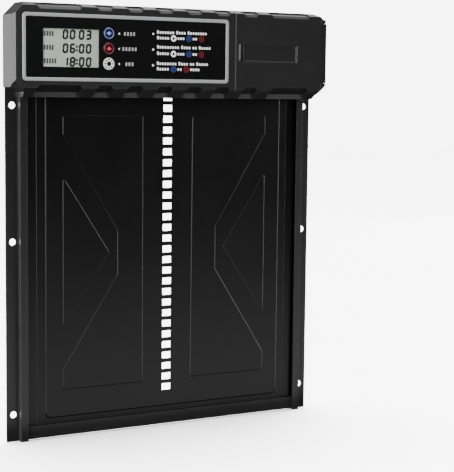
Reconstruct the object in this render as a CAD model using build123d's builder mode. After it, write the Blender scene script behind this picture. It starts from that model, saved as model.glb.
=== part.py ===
"""Automatic coop door: a metal guide frame, a lifting rack door and a battery-powered control box.

Millimetres. X runs to the right, Y runs back into the wall, Z is up. The origin is the centre of the four
outer mounting holes, on the wall plane, so everything in front of the wall has a negative Y. Heights in
this file are counted from the foot of the frame; the helpers turn them into Z by taking ORIGIN_HEIGHT away.
"""
from build123d import *
import os
from math import acos, cos, pi, radians, sin, sqrt, tan

os.makedirs("parts", exist_ok=True)

# ---- driving dimensions ----------------------------------------------------------------------------
FRAME_WIDTH = 312.0            # over the two mounting flanges
FRAME_HEIGHT = 374.0           # the rails run up behind the control box
FRAME_SHEET = 1.2
CHANNEL_WEB = 144.8            # outer face of a rail's web, from the centre
CHANNEL_LIP = 138.0            # free edge of a rail's front lip, from the centre
CHANNEL_DEPTH = 8.0            # front of the rails, from the wall
SILL_BOTTOM = 1.2
SILL_TOP = 12.8
SILL_FRONT = 6.0
MOUNT_HOLE_X = 149.5
MOUNT_HOLE_Z = (24.0, 178.6, 298.2)
MOUNT_HOLE_RADIUS = 3.1
FRAME_SCREW_X = 150.4
FRAME_SCREW_Z = (322.0, 366.0)
PILOT_RADIUS = 1.55            # screw holes that a 3 mm shank passes

DOOR_HALF_WIDTH = 142.8
DOOR_BOTTOM = 3.4
DOOR_TOP = 364.0
DOOR_SHEET = 1.0
DOOR_EDGE_BACK = 2.7           # back of the door's flat edge, from the wall
STEP_HALF_WIDTH = 128.6        # a first small step in from the door's edges
STEP_RISE = 0.5
FIELD_HALF_WIDTH = 120.5       # pressed-forward middle of the door
FIELD_BOTTOM = 18.0
FIELD_RISE = 1.0
PANEL_RISE = 0.8               # the two decorative pressings on each half
RACK_PITCH = 10.0
RACK_SLOTS = 33
RACK_FIRST = 36.2              # centre of the lowest slot
SLOT_WIDTH = 9.1
SLOT_HEIGHT = 6.3
SLOT_CORNER = 0.4

BOX_FRONT = 30.0               # front face of the control box, from the wall
BOX_SHOULDER = 19.5            # where the top and bottom bevels end
SIDE_SHOULDER = 24.6           # where the side bevels end
BOX_BACK = 1.5
BOX_BOTTOM = 305.5
BOX_TOP = 386.5
BOX_HALF_WIDTH = 157.8
FACE_BOTTOM = 313.5
FACE_TOP = 383.4
FACE_HALF_WIDTH = 156.5
WALL = 2.0
NOTCH_PITCH = 29.4             # between the short notches along the top and bottom edges
NOTCH_FLAT = 10.0
NOTCH_RAMP = 3.3
LONG_NOTCH_FLAT = 36.6
LONG_NOTCH_X = 116.2

BEZEL_X = (-150.6, 49.4)
BEZEL_Z = (319.4, 377.2)
BEZEL_BORDER = 3.1
BEZEL_CORNER = 3.2
BEZEL_RISE = 0.6               # stands this far out of the box's face
PANEL_SHEET = 1.0
LCD_X = (-133.0, -79.0)
LCD_Z = (330.6, 365.6)
BUTTON_X = -70.7
BUTTON_Z = {"open": 361.5, "close": 348.3, "set": 335.1}
BUTTON_RADIUS = 5.2
BUTTON_TRAVEL = 0.6
BUTTON_RISE = 0.9
BUTTON_CLEARANCE = 0.3
BOARD_FRONT = 22.5
BOARD_THICKNESS = 1.6

SEAM_X = 56.4                  # between the control section and the battery cover
COVER_GAP = 0.35
COVER_EDGE = 0.6               # chamfer along the cover's free edge
HINGE_X = 155.2
HINGE_DEPTH = 26.4
CELL_RADIUS = 7.2
CELL_LENGTH = 50.5
CELL_PITCH = 15.5
CELL_COUNT = 4
TRAY_X = (58.8, 146.6)
TRAY_Z = (320.6, 378.8)        # inner faces of the tray's end walls

REAR_COVER_FRONT = 10.2
REAR_COVER_BACK = 8.6
PINION_TEETH = 6
SHAFT_SLOT = 31                # the slot that faces the pinion when the door is shut
AXLE_DEPTH = 18.9
SHAFT_RADIUS = 2.0
AXLE_RADIUS = 1.5
OUTPUT_TEETH = 16
SMALL_TEETH = 10
COARSE_MODULE = 0.8
LARGE_TEETH = 30
MOTOR_TEETH = 10
FINE_MODULE = 0.5

# ---- worked out from them --------------------------------------------------------------------------
ORIGIN_HEIGHT = (MOUNT_HOLE_Z[0] + MOUNT_HOLE_Z[-1]) / 2
FLANGE_EDGE = FRAME_WIDTH / 2
DOOR_EDGE_FRONT = DOOR_EDGE_BACK + DOOR_SHEET
FIELD_FRONT = DOOR_EDGE_FRONT + STEP_RISE + FIELD_RISE
PITCH_RADIUS = PINION_TEETH * RACK_PITCH / (2 * pi)
SHAFT_DEPTH = FIELD_FRONT - DOOR_SHEET / 2 + PITCH_RADIUS
SHAFT_Z = RACK_FIRST + SHAFT_SLOT * RACK_PITCH
COARSE_CENTRES = COARSE_MODULE * (OUTPUT_TEETH + SMALL_TEETH) / 2
AXLE_Z = SHAFT_Z + sqrt(COARSE_CENTRES**2 - (AXLE_DEPTH - SHAFT_DEPTH) ** 2)
MOTOR_DEPTH = AXLE_DEPTH
MOTOR_Z = AXLE_Z + FINE_MODULE * (LARGE_TEETH + MOTOR_TEETH) / 2


# ---- helpers ---------------------------------------------------------------------------------------
def facing(depth):
    """A sketch plane this far in front of the wall: x is X, y is the height, extrusion goes forward."""
    return Plane(origin=(0, -depth, -ORIGIN_HEIGHT), x_dir=(1, 0, 0), z_dir=(0, -1, 0))


def across(x):
    """A sketch plane at this X: x is Y, y is the height, extrusion goes to the right."""
    return Plane(origin=(x, 0, -ORIGIN_HEIGHT), x_dir=(0, 1, 0), z_dir=(1, 0, 0))


def level(height):
    """A sketch plane at this height: x is X, y is Y, extrusion goes up."""
    return Plane.XY.offset(height - ORIGIN_HEIGHT)


def block(x_range, depth_range, z_range, mode=Mode.ADD):
    """A plain block between two X values, two depths in front of the wall and two heights."""
    width = x_range[1] - x_range[0]
    depth = depth_range[1] - depth_range[0]
    height = z_range[1] - z_range[0]
    middle = (x_range[0] + width / 2, -depth_range[0] - depth / 2, z_range[0] + height / 2 - ORIGIN_HEIGHT)
    with Locations(middle):
        Box(width, depth, height, mode=mode)


def peg(x, z, radius, back, front, mode=Mode.ADD):
    """A round peg or hole along Y, between two depths in front of the wall."""
    with BuildSketch(facing(back)) as disc:
        with Locations((x, z)):
            Circle(radius)
    extrude(disc.sketch, amount=front - back, mode=mode)


def roller(depth, z, radius, x_from, x_to, mode=Mode.ADD):
    """A round bar or hole along X."""
    with BuildSketch(across(x_from)) as disc:
        with Locations((-depth, z)):
            Circle(radius)
    extrude(disc.sketch, amount=x_to - x_from, mode=mode)


def eight_corners(half_width, bottom, top, corner_x, low_corner, high_corner):
    """A rectangle with its four corners cut off, as points in X and Z."""
    return [
        (-half_width, bottom + low_corner),
        (-half_width + corner_x, bottom),
        (half_width - corner_x, bottom),
        (half_width, bottom + low_corner),
        (half_width, top - high_corner),
        (half_width - corner_x, top),
        (-half_width + corner_x, top),
        (-half_width, top - high_corner),
    ]


def outline(points):
    """Fills a closed outline in the current sketch."""
    Polygon(*points, align=None)


def notches():
    """The centre and the flat length of every notch along the control box's edges."""
    for side in (-1, 1):
        yield side * LONG_NOTCH_X, LONG_NOTCH_FLAT
        for step in (0.5, 1.5, 2.5):
            yield side * step * NOTCH_PITCH, NOTCH_FLAT


# ---- the guide frame -------------------------------------------------------------------------------
def rail(side):
    """One side rail: a mounting flange with a channel for the door's edge."""
    inner_web = CHANNEL_WEB - FRAME_SHEET
    section = [
        (CHANNEL_LIP, 0),
        (FLANGE_EDGE, 0),
        (FLANGE_EDGE, -FRAME_SHEET),
        (CHANNEL_WEB, -FRAME_SHEET),
        (CHANNEL_WEB, -CHANNEL_DEPTH),
        (CHANNEL_LIP, -CHANNEL_DEPTH),
        (CHANNEL_LIP, -CHANNEL_DEPTH + FRAME_SHEET),
        (inner_web, -CHANNEL_DEPTH + FRAME_SHEET),
        (inner_web, -FRAME_SHEET),
        (CHANNEL_LIP, -FRAME_SHEET),
    ]
    with BuildPart() as profile:
        with BuildSketch(level(0)):
            outline([(side * x, y) for x, y in section])
        extrude(amount=FRAME_HEIGHT)
        for z in MOUNT_HOLE_Z:
            peg(side * MOUNT_HOLE_X, z, MOUNT_HOLE_RADIUS, 0, FRAME_SHEET, Mode.SUBTRACT)
        for z in FRAME_SCREW_Z:
            peg(side * FRAME_SCREW_X, z, PILOT_RADIUS, 0, FRAME_SHEET, Mode.SUBTRACT)
    return profile


left_rail = rail(-1)
left_rail.part.label = "left_rail"
export_step(left_rail.part, "parts/left_rail.step")

right_rail = rail(1)
right_rail.part.label = "right_rail"
export_step(right_rail.part, "parts/right_rail.step")

# The sill is a folded trough between the rails; the closed door drops into it.
SILL_SHEET = 1.1
SILL_HALF_WIDTH = CHANNEL_WEB - FRAME_SHEET
with BuildPart() as bottom_sill:
    sill_x = (-SILL_HALF_WIDTH, SILL_HALF_WIDTH)
    block(sill_x, (FRAME_SHEET, SILL_FRONT), (SILL_BOTTOM, SILL_TOP))
    block(sill_x, (FRAME_SHEET + SILL_SHEET, SILL_FRONT - SILL_SHEET), (SILL_BOTTOM + SILL_SHEET, SILL_TOP),
          Mode.SUBTRACT)
bottom_sill.part.label = "bottom_sill"
export_step(bottom_sill.part, "parts/bottom_sill.step")


# ---- the lifting door ------------------------------------------------------------------------------
BRACKET = [(104.2, 289.6), (25.2, 289.6), (24.6, 43.0), (104.2, 43.0), (104.2, 62.0), (50.9, 145.4),
           (50.9, 185.2), (104.2, 272.5)]
TRIANGLE = [(104.2, 236.4), (58.6, 166.1), (104.2, 98.5)]
BRACKET_CORNER = 2.0
TRIANGLE_CORNER = 1.5
STEP_CORNER = 3.0
FIELD_CORNER = 5.0
DOOR_MARGIN = 3.0              # plain sheet left above and below the step


def upright_box(half_width, bottom, top):
    """A rectangle about the centre line, as points in X and Z."""
    return [(-half_width, bottom), (half_width, bottom), (half_width, top), (-half_width, top)]


def press(points, back, rise, corner):
    """Presses an outline forward out of the sheet, with sloping sides, and hollows it from behind."""
    for start, mode in ((back + DOOR_SHEET, Mode.ADD), (back, Mode.SUBTRACT)):
        with BuildSketch(facing(start)) as shape:
            outline(points)
            fillet(shape.vertices(), corner)
            if mode == Mode.SUBTRACT:
                offset(amount=-DOOR_SHEET * tan(radians(22.5)), mode=Mode.REPLACE)
        extrude(shape.sketch, amount=rise, taper=45, mode=mode)


with BuildPart() as door_panel:
    block((-DOOR_HALF_WIDTH, DOOR_HALF_WIDTH), (DOOR_EDGE_BACK, DOOR_EDGE_FRONT), (DOOR_BOTTOM, DOOR_TOP))
    press(upright_box(STEP_HALF_WIDTH, DOOR_BOTTOM + DOOR_MARGIN, DOOR_TOP - DOOR_MARGIN), DOOR_EDGE_BACK,
          STEP_RISE, STEP_CORNER)
    press(upright_box(FIELD_HALF_WIDTH, FIELD_BOTTOM, DOOR_TOP - 2 * DOOR_MARGIN),
          DOOR_EDGE_BACK + STEP_RISE, FIELD_RISE, FIELD_CORNER)
    for side in (-1, 1):
        for points, corner in ((BRACKET, BRACKET_CORNER), (TRIANGLE, TRIANGLE_CORNER)):
            press([(side * x, z) for x, z in points], FIELD_FRONT - DOOR_SHEET, PANEL_RISE, corner)
    with BuildSketch(facing(0)):
        for slot in range(RACK_SLOTS):
            with Locations((0, RACK_FIRST + slot * RACK_PITCH)):
                RectangleRounded(SLOT_WIDTH, SLOT_HEIGHT, SLOT_CORNER)
    extrude(amount=FIELD_FRONT + 1, mode=Mode.SUBTRACT)
door_panel.part.label = "door_panel"
export_step(door_panel.part, "parts/door_panel.step")


# ---- the control box -------------------------------------------------------------------------------
BOX_DEPTHS = (0.0, BOX_FRONT + 5.0)              # ranges that hold the whole box, for cuts right through it
BOX_HEIGHTS = (BOX_BOTTOM - 5.0, BOX_TOP + 5.0)
REAR_CUT = 11.0                                  # corners cut off the box, at the back and in front
LOW_REAR_CUT = 8.5
FACE_CUT = 6.5
LOW_CORNER = [(160.0, 314.9), (147.8, 309.9), (146.7, 305.4), (146.7, 300.0), (160.0, 300.0)]
END_SLOPE = [(150.2, BOX_FRONT), (157.4, 28.8), (157.4, BOX_FRONT + 1), (150.2, BOX_FRONT + 1)]
LOW_RECESS = [(-31, 316.8), (-18, 310.1), (-16.2, 305.0), (-16.2, 300), (-31, 300)]
HIGH_RECESS = [(-31, 379.6), (-27.6, 383.0), (-19.4, 385.0), (-19.4, 390), (-31, 390)]
LOW_NOTCH_EDGE = 316.3
HIGH_NOTCH_EDGE = 380.6
SLASH_DEPTH = [(-31, 315.6), (-18, 305.7), (-18, 300), (-31, 300)]
SLASH = [(-5.2, 315.2), (-6.6, 315.2), (-14.7, 307.9), (-13.3, 307.9)]


def box_body():
    """The control box's outside before the notches: a bevelled front on a straight-sided block."""
    side_slope = (BOX_HALF_WIDTH - FACE_HALF_WIDTH) / (BOX_FRONT - SIDE_SHOULDER)
    reach = FACE_HALF_WIDTH + side_slope * (BOX_FRONT - BOX_SHOULDER)
    cut = REAR_CUT + reach - BOX_HALF_WIDTH
    with BuildSketch(facing(BOX_SHOULDER)) as shoulder:
        outline(eight_corners(reach, BOX_BOTTOM, BOX_TOP, cut, cut * LOW_REAR_CUT / REAR_CUT, cut))
    with BuildSketch(facing(BOX_FRONT)) as front_face:
        outline(eight_corners(FACE_HALF_WIDTH, FACE_BOTTOM, FACE_TOP, FACE_CUT, FACE_CUT, FACE_CUT))
    loft(shoulder.sketch.faces() + front_face.sketch.faces(), ruled=True)
    extrude(shoulder.sketch, amount=-(BOX_SHOULDER - BOX_BACK))
    block((-BOX_HALF_WIDTH, BOX_HALF_WIDTH), BOX_DEPTHS, BOX_HEIGHTS, Mode.INTERSECT)
    # the lowest corners step in under the side walls
    for side in (-1, 1):
        with BuildSketch(facing(0)) as corner:
            outline([(side * x, z) for x, z in LOW_CORNER])
        extrude(corner.sketch, amount=BOX_DEPTHS[1], mode=Mode.SUBTRACT)
    # the front face falls away a little at the hinge end
    with BuildSketch(level(BOX_HEIGHTS[0])) as slope:
        outline([(x, -depth) for x, depth in END_SLOPE])
    extrude(slope.sketch, amount=BOX_HEIGHTS[1] - BOX_HEIGHTS[0], mode=Mode.SUBTRACT)


def notch_outlines(edge, away):
    """The notches along one long edge of the box, as outlines in X and Z that open away from the middle."""
    for centre, flat in notches():
        mouth = flat / 2 + NOTCH_RAMP
        ramp_end = edge + away * NOTCH_RAMP
        outside = edge + away * 20
        yield [(centre - flat / 2, edge), (centre + flat / 2, edge), (centre + mouth, ramp_end),
               (centre + mouth, outside), (centre - mouth, outside), (centre - mouth, ramp_end)]


def edge_cut(profile, outlines):
    """What a long edge loses: a profile in Y and Z, kept only inside the outlines in X and Z."""
    with BuildPart() as strip:
        with BuildSketch(across(-BOX_HALF_WIDTH)):
            outline(profile)
        extrude(amount=2 * BOX_HALF_WIDTH)
        with BuildSketch(facing(0)):
            for points in outlines:
                outline(points)
        extrude(amount=BOX_DEPTHS[1], mode=Mode.INTERSECT)
    return strip.part


with BuildPart() as box_outside:
    box_body()
    add(edge_cut(LOW_RECESS, notch_outlines(LOW_NOTCH_EDGE, -1)), mode=Mode.SUBTRACT)
    add(edge_cut(HIGH_RECESS, notch_outlines(HIGH_NOTCH_EDGE, 1)), mode=Mode.SUBTRACT)
    add(edge_cut(SLASH_DEPTH, [SLASH]), mode=Mode.SUBTRACT)

# The hollow inside follows the bevels but stays clear of the notches.
INNER_FRONT = 27.5
INNER_SHOULDER = 16.0
INNER_CUT = 14.0
INNER_HALF_WIDTH = BOX_HALF_WIDTH - WALL
with BuildPart() as box_inside:
    with BuildSketch(facing(INNER_SHOULDER)):
        outline(eight_corners(INNER_HALF_WIDTH, 312.4, 383.0, 9.0, 5.0, 8.0))
    with BuildSketch(facing(INNER_FRONT)):
        outline(eight_corners(FACE_HALF_WIDTH - WALL, 318.4, 380.4, 7.0, 7.0, 7.0))
    loft(ruled=True)
    with BuildSketch(facing(0)):
        outline(eight_corners(INNER_HALF_WIDTH, BOX_BOTTOM + WALL, BOX_TOP - WALL,
                              INNER_CUT, REAR_CUT, REAR_CUT))
    extrude(amount=INNER_SHOULDER)

# The part of the box's outside that belongs to the battery cover.
CORNER_X = 150.2
HINGE_Z = (321.0, 377.0)
HINGE_GAP = 0.3
with BuildPart() as cover_zone:
    block((SEAM_X, CORNER_X), (INNER_FRONT, BOX_DEPTHS[1]), BOX_HEIGHTS)
    block((CORNER_X, BOX_HALF_WIDTH + 5), (HINGE_DEPTH - 2.1, BOX_DEPTHS[1]),
          (HINGE_Z[0] - HINGE_GAP, HINGE_Z[1] + HINGE_GAP))

INNER_BACK = REAR_COVER_FRONT + 0.1              # where the parts inside the box rest on the rear cover
PANEL_MARGIN = 0.1
BEZEL_CENTRE = (sum(BEZEL_X) / 2, sum(BEZEL_Z) / 2)
BEZEL_SIZE = (BEZEL_X[1] - BEZEL_X[0], BEZEL_Z[1] - BEZEL_Z[0])
LCD_CLEARANCE = 0.3
BOX_BOSSES = [(-152.4, 346.0), (-60.0, 379.6), (-60.0, 314.6), (38.0, 379.6), (38.0, 314.6), (152.4, 346.0)]
BOSS_RADIUS = 3.6
BOSS_FRONT = 21.0
BOARD_X = (-142.0, -24.0)
BOARD_Z = (323.0, 375.0)
POST_INSET = 4.0
POST_RADIUS = 2.6
BOARD_SCREW_RADIUS = 1.0
BOARD_POSTS = [(x, z) for x in (BOARD_X[0] + POST_INSET, BOARD_X[1] - POST_INSET)
               for z in (BOARD_Z[0] + POST_INSET, BOARD_Z[1] - POST_INSET)]
PARTITION_X = (SEAM_X - WALL, SEAM_X)
PARTITION_Z = (317.4, 381.4)
LATCH_Z = (340.2, 356.0)
NOSE_INSET = 2.4                                 # the latch's nose is this much shorter at each end
PIN_RADIUS = 1.0
PIN_Z = (319.2, 378.8)
LUG_X = (HINGE_X - 2.2, HINGE_X + 1.2)
LUG_Z = ((317.0, HINGE_Z[0] - 0.4), (HINGE_Z[1] + 0.4, 381.0))
RAIL_ROOM = 0.8


def hinge_rod(radius, z_range, mode=Mode.ADD):
    """An upright round bar on the battery cover's hinge line."""
    with BuildSketch(level(z_range[0])) as disc:
        with Locations((HINGE_X, -HINGE_DEPTH)):
            Circle(radius)
    extrude(disc.sketch, amount=z_range[1] - z_range[0], mode=mode)


with BuildPart() as front_housing:
    add(box_outside.part)
    add(box_inside.part, mode=Mode.SUBTRACT)
    add(cover_zone.part, mode=Mode.SUBTRACT)
    # room for the rails and the rising door behind the box
    block((-CHANNEL_WEB - RAIL_ROOM, CHANNEL_WEB + RAIL_ROOM), (0, CHANNEL_DEPTH + 0.4), BOX_HEIGHTS,
          Mode.SUBTRACT)
    # wall between the electronics and the battery bay, with a slot for the latch nose
    block(PARTITION_X, (INNER_BACK, INNER_FRONT + 0.2), PARTITION_Z)
    block((PARTITION_X[0] - 1, PARTITION_X[1] + 1), (24.4, INNER_FRONT),
          (LATCH_Z[0] + NOSE_INSET - 0.4, LATCH_Z[1] - NOSE_INSET + 0.4), Mode.SUBTRACT)
    # pocket for the glossy panel and its surround, windows for the display and the buttons
    with BuildSketch(facing(BOX_FRONT)):
        with Locations(BEZEL_CENTRE):
            RectangleRounded(BEZEL_SIZE[0] + 2 * PANEL_MARGIN, BEZEL_SIZE[1] + 2 * PANEL_MARGIN,
                             BEZEL_CORNER + PANEL_MARGIN)
    extrude(amount=-PANEL_SHEET, mode=Mode.SUBTRACT)
    block((LCD_X[0] - LCD_CLEARANCE, LCD_X[1] + LCD_CLEARANCE), (INNER_SHOULDER, BOX_DEPTHS[1]),
          (LCD_Z[0] - LCD_CLEARANCE, LCD_Z[1] + LCD_CLEARANCE), Mode.SUBTRACT)
    for z in BUTTON_Z.values():
        peg(BUTTON_X, z, BUTTON_RADIUS + BUTTON_CLEARANCE, INNER_SHOULDER, BOX_DEPTHS[1], Mode.SUBTRACT)
    # screw bosses for the rear cover and posts for the circuit board
    for x, z in BOX_BOSSES:
        peg(x, z, BOSS_RADIUS, INNER_BACK, BOSS_FRONT)
        peg(x, z, PILOT_RADIUS, REAR_COVER_FRONT, BOSS_FRONT - WALL, Mode.SUBTRACT)
    for x, z in BOARD_POSTS:
        peg(x, z, POST_RADIUS, BOARD_FRONT, INNER_FRONT + 0.2)
        peg(x, z, BOARD_SCREW_RADIUS + 0.05, BOARD_FRONT, INNER_FRONT - 1.5, Mode.SUBTRACT)
    # lugs that carry the battery cover's hinge pin
    for z_range in LUG_Z:
        block(LUG_X, (20, HINGE_DEPTH + 1.6), z_range)
    hinge_rod(PIN_RADIUS + 0.03, (PIN_Z[0] - 0.2, PIN_Z[1] + 0.2), Mode.SUBTRACT)
front_housing.part.label = "front_housing"
export_step(front_housing.part, "parts/front_housing.step")

# ---- rear cover: closes the box behind and stands it off the rails' flanges ---------------------------
DRIVE_WINDOW_X = (-14.0, 26.0)
DRIVE_WINDOW_Z = (332.0, 361.0)
BRACKET_SCREWS = [(-13.0, 339.0), (-13.0, 351.0), (28.0, 339.0), (28.0, 351.0)]
STANDOFF_RADIUS = 4.2
COVER_FIT = 0.2
with BuildPart() as rear_cover:
    with BuildSketch(facing(REAR_COVER_BACK)):
        outline(eight_corners(INNER_HALF_WIDTH - COVER_FIT, BOX_BOTTOM + WALL + COVER_FIT,
                              BOX_TOP - WALL - COVER_FIT, INNER_CUT, REAR_CUT, REAR_CUT))
    extrude(amount=REAR_COVER_FRONT - REAR_COVER_BACK)
    block(DRIVE_WINDOW_X, BOX_DEPTHS, DRIVE_WINDOW_Z, Mode.SUBTRACT)
    for side in (-1, 1):
        for z in FRAME_SCREW_Z:
            peg(side * FRAME_SCREW_X, z, STANDOFF_RADIUS, FRAME_SHEET, REAR_COVER_BACK)
            peg(side * FRAME_SCREW_X, z, PILOT_RADIUS, *BOX_DEPTHS, Mode.SUBTRACT)
    for x, z in BOX_BOSSES + BRACKET_SCREWS:
        peg(x, z, PILOT_RADIUS, *BOX_DEPTHS, Mode.SUBTRACT)
rear_cover.part.label = "rear_cover"
export_step(rear_cover.part, "parts/rear_cover.step")


# ---- display panel ---------------------------------------------------------------------------------
PANEL_BACK = BOX_FRONT - PANEL_SHEET
PANEL_SIZE = (BEZEL_SIZE[0] - 2 * BEZEL_BORDER, BEZEL_SIZE[1] - 2 * BEZEL_BORDER)
PANEL_CORNER = 1.5
with BuildPart() as display_bezel:
    with BuildSketch(facing(PANEL_BACK)):
        with Locations(BEZEL_CENTRE):
            RectangleRounded(*BEZEL_SIZE, BEZEL_CORNER)
            RectangleRounded(*PANEL_SIZE, PANEL_CORNER, mode=Mode.SUBTRACT)
    extrude(amount=PANEL_SHEET + BEZEL_RISE)
    chamfer(display_bezel.faces().sort_by(Axis.Y)[0].edges(), 0.4)
display_bezel.part.label = "display_bezel"
export_step(display_bezel.part, "parts/display_bezel.step")

with BuildPart() as display_window:
    with BuildSketch(facing(PANEL_BACK)):
        with Locations(BEZEL_CENTRE):
            RectangleRounded(PANEL_SIZE[0] - PANEL_MARGIN, PANEL_SIZE[1] - PANEL_MARGIN,
                             PANEL_CORNER - PANEL_MARGIN / 2)
    extrude(amount=PANEL_SHEET)
    for z in BUTTON_Z.values():
        peg(BUTTON_X, z, BUTTON_RADIUS + BUTTON_CLEARANCE, *BOX_DEPTHS, Mode.SUBTRACT)
display_window.part.label = "display_window"
export_step(display_window.part, "parts/display_window.step")

LCD_FRONT = PANEL_BACK - 0.1
LCD_BACK = LCD_FRONT - 2.2
HOLDER_RIM = 2.0
with BuildPart() as lcd_glass:
    block(LCD_X, (LCD_BACK, LCD_FRONT), LCD_Z)
lcd_glass.part.label = "lcd_glass"
export_step(lcd_glass.part, "parts/lcd_glass.step")

with BuildPart() as lcd_holder:
    block((LCD_X[0] - HOLDER_RIM, LCD_X[1] + HOLDER_RIM), (BOARD_FRONT, LCD_BACK),
          (LCD_Z[0] - HOLDER_RIM, LCD_Z[1] + HOLDER_RIM))
    block((LCD_X[0] + 1, LCD_X[1] - 1), (BOARD_FRONT, LCD_BACK - 1.2), (LCD_Z[0] + 1, LCD_Z[1] - 1),
          Mode.SUBTRACT)
lcd_holder.part.label = "lcd_holder"
export_step(lcd_holder.part, "parts/lcd_holder.step")

CAP_BACK = INNER_FRONT - 0.2
FLANGE_BACK = CAP_BACK - 0.7
SWITCH_FRONT = FLANGE_BACK - BUTTON_TRAVEL - 0.1
SWITCH_HALF = 3.0
SWITCH_BODY = 2.6
PLUNGER_RADIUS = 1.7
for name, z in BUTTON_Z.items():
    with BuildPart() as button:
        peg(BUTTON_X, z, BUTTON_RADIUS, CAP_BACK, BOX_FRONT + BUTTON_RISE)
        fillet(button.faces().sort_by(Axis.Y)[0].edges(), 0.4)
        peg(BUTTON_X, z, BUTTON_RADIUS + 1.0, FLANGE_BACK, CAP_BACK)
    button.part.label = f"{name}_button"
    export_step(button.part, f"parts/{name}_button.step")

with BuildPart() as tact_switches:
    for z in BUTTON_Z.values():
        block((BUTTON_X - SWITCH_HALF, BUTTON_X + SWITCH_HALF), (BOARD_FRONT, BOARD_FRONT + SWITCH_BODY),
              (z - SWITCH_HALF, z + SWITCH_HALF))
        peg(BUTTON_X, z, PLUNGER_RADIUS, BOARD_FRONT + SWITCH_BODY, SWITCH_FRONT)
tact_switches.part.label = "tact_switches"
export_step(tact_switches.part, "parts/tact_switches.step")

BOARD_BACK = BOARD_FRONT - BOARD_THICKNESS
with BuildPart() as circuit_board:
    block(BOARD_X, (BOARD_BACK, BOARD_FRONT), BOARD_Z)
    for x, z in BOARD_POSTS:
        peg(x, z, BOARD_SCREW_RADIUS + 0.2, *BOX_DEPTHS, Mode.SUBTRACT)
circuit_board.part.label = "circuit_board"
export_step(circuit_board.part, "parts/circuit_board.step")

# what stands on the back of the board: its X range, its height range and how far it stands out
CHIP = ((-112, -100), (342, 354), 1.6)
CRYSTAL = ((-88, -83), (345, 357), 2.4)
MOTOR_SOCKET = ((-40, -32), (352, 362), 6.0)
BATTERY_SOCKET = ((-40, -32), (336, 346), 6.0)
# round ones: centre, radius and height
CAPACITORS = [(-128, 333, 3.0, 7.5), (-119, 333, 3.0, 7.5)]
BUZZER = (-60, 333, 5.0, 4.5)
with BuildPart() as board_components:
    for x_range, z_range, height in (CHIP, CRYSTAL, MOTOR_SOCKET, BATTERY_SOCKET):
        block(x_range, (BOARD_BACK - height, BOARD_BACK), z_range)
    for x, z, radius, height in [*CAPACITORS, BUZZER]:
        peg(x, z, radius, BOARD_BACK - height, BOARD_BACK)
board_components.part.label = "board_components"
export_step(board_components.part, "parts/board_components.step")


# ---- drive -----------------------------------------------------------------------------------------
def gear_points(teeth, module):
    """Corner points of a spur gear's outline about its own centre, one tooth pointing along local x."""
    pressure = radians(20)
    pitch_r = teeth * module / 2
    base_r = pitch_r * cos(pressure)
    tip_r = pitch_r + 0.9 * module
    root_r = pitch_r - 1.2 * module
    backlash = 0.16 * module

    def half_angle(radius):
        roll = acos(min(1.0, base_r / radius))
        at_pitch = pi / (2 * teeth) - backlash / (2 * pitch_r)
        return at_pitch + (tan(pressure) - pressure) - (tan(roll) - roll)

    flank_start = max(base_r, root_r)
    stations = [root_r] + [flank_start + (tip_r - flank_start) * step / 4 for step in range(5)]
    if flank_start == root_r:
        stations = stations[1:]
    points = []
    for tooth in range(teeth):
        middle = 2 * pi * tooth / teeth
        points += [(r * cos(middle - half_angle(r)), r * sin(middle - half_angle(r))) for r in stations]
        points += [(r * cos(middle + half_angle(r)), r * sin(middle + half_angle(r)))
                   for r in stations[::-1]]
    return points


def turned(points, angle, depth, z):
    """Turns an outline about its own centre by an angle in radians and sets it at a depth and height."""
    return [(x * cos(angle) - y * sin(angle) - depth, x * sin(angle) + y * cos(angle) + z)
            for x, y in points]


def meshing(angle_a, teeth_a, teeth_b, toward):
    """The angle at which gear B meshes with gear A, with B's centre in the direction toward from A."""
    along = (angle_a - toward) * teeth_a / 2
    return toward + pi - (along + pi / 2) / (teeth_b / 2)


def wheel(points, angle, depth, z, x_range):
    """A toothed wheel: its outline, turned and set in place, made as wide as the X range."""
    with BuildSketch(across(x_range[0])) as teeth:
        outline(turned(points, angle, depth, z))
    extrude(teeth.sketch, amount=x_range[1] - x_range[0])


GEAR_X = (8.0, 12.0)           # the coarse pair
LARGE_X = (12.6, 15.4)         # the fine pair
GEAR_OVERLAP = 0.4             # a pinion is this much longer than its wheel
PLATES_X = ((-8.0, -6.5), (5.4, 6.9), (21.0, 22.5))
PRESS_FIT = 0.01               # gears pressed on a shaft
RUNNING_FIT = 0.06             # gears and bushes that turn on one
RACK_TOOTH = [(6.0, -2.5), (12.0, -1.0), (12.0, 1.0), (6.0, 2.5)]
PINION_CORE = 7.8
PINION_X = (-SLOT_WIDTH / 2 + 0.45, SLOT_WIDTH / 2 - 0.45)
SHAFT_X = (-9.6, 24.1)
BORE_X = (-20.0, 30.0)         # past both ends of every bore

with BuildPart() as drive_pinion:
    roller(SHAFT_DEPTH, SHAFT_Z, PINION_CORE, *PINION_X)
    for tooth in range(PINION_TEETH):
        wheel(RACK_TOOTH, 2 * pi * tooth / PINION_TEETH, SHAFT_DEPTH, SHAFT_Z, PINION_X)
    roller(SHAFT_DEPTH, SHAFT_Z, SHAFT_RADIUS + PRESS_FIT, *BORE_X, Mode.SUBTRACT)
drive_pinion.part.label = "drive_pinion"
export_step(drive_pinion.part, "parts/drive_pinion.step")

with BuildPart() as pinion_shaft:
    roller(SHAFT_DEPTH, SHAFT_Z, SHAFT_RADIUS, *SHAFT_X)
pinion_shaft.part.label = "pinion_shaft"
export_step(pinion_shaft.part, "parts/pinion_shaft.step")

with BuildPart() as output_gear:
    wheel(gear_points(OUTPUT_TEETH, COARSE_MODULE), 0, SHAFT_DEPTH, SHAFT_Z, GEAR_X)
    roller(SHAFT_DEPTH, SHAFT_Z, SHAFT_RADIUS + PRESS_FIT, *BORE_X, Mode.SUBTRACT)
output_gear.part.label = "output_gear"
export_step(output_gear.part, "parts/output_gear.step")

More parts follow.
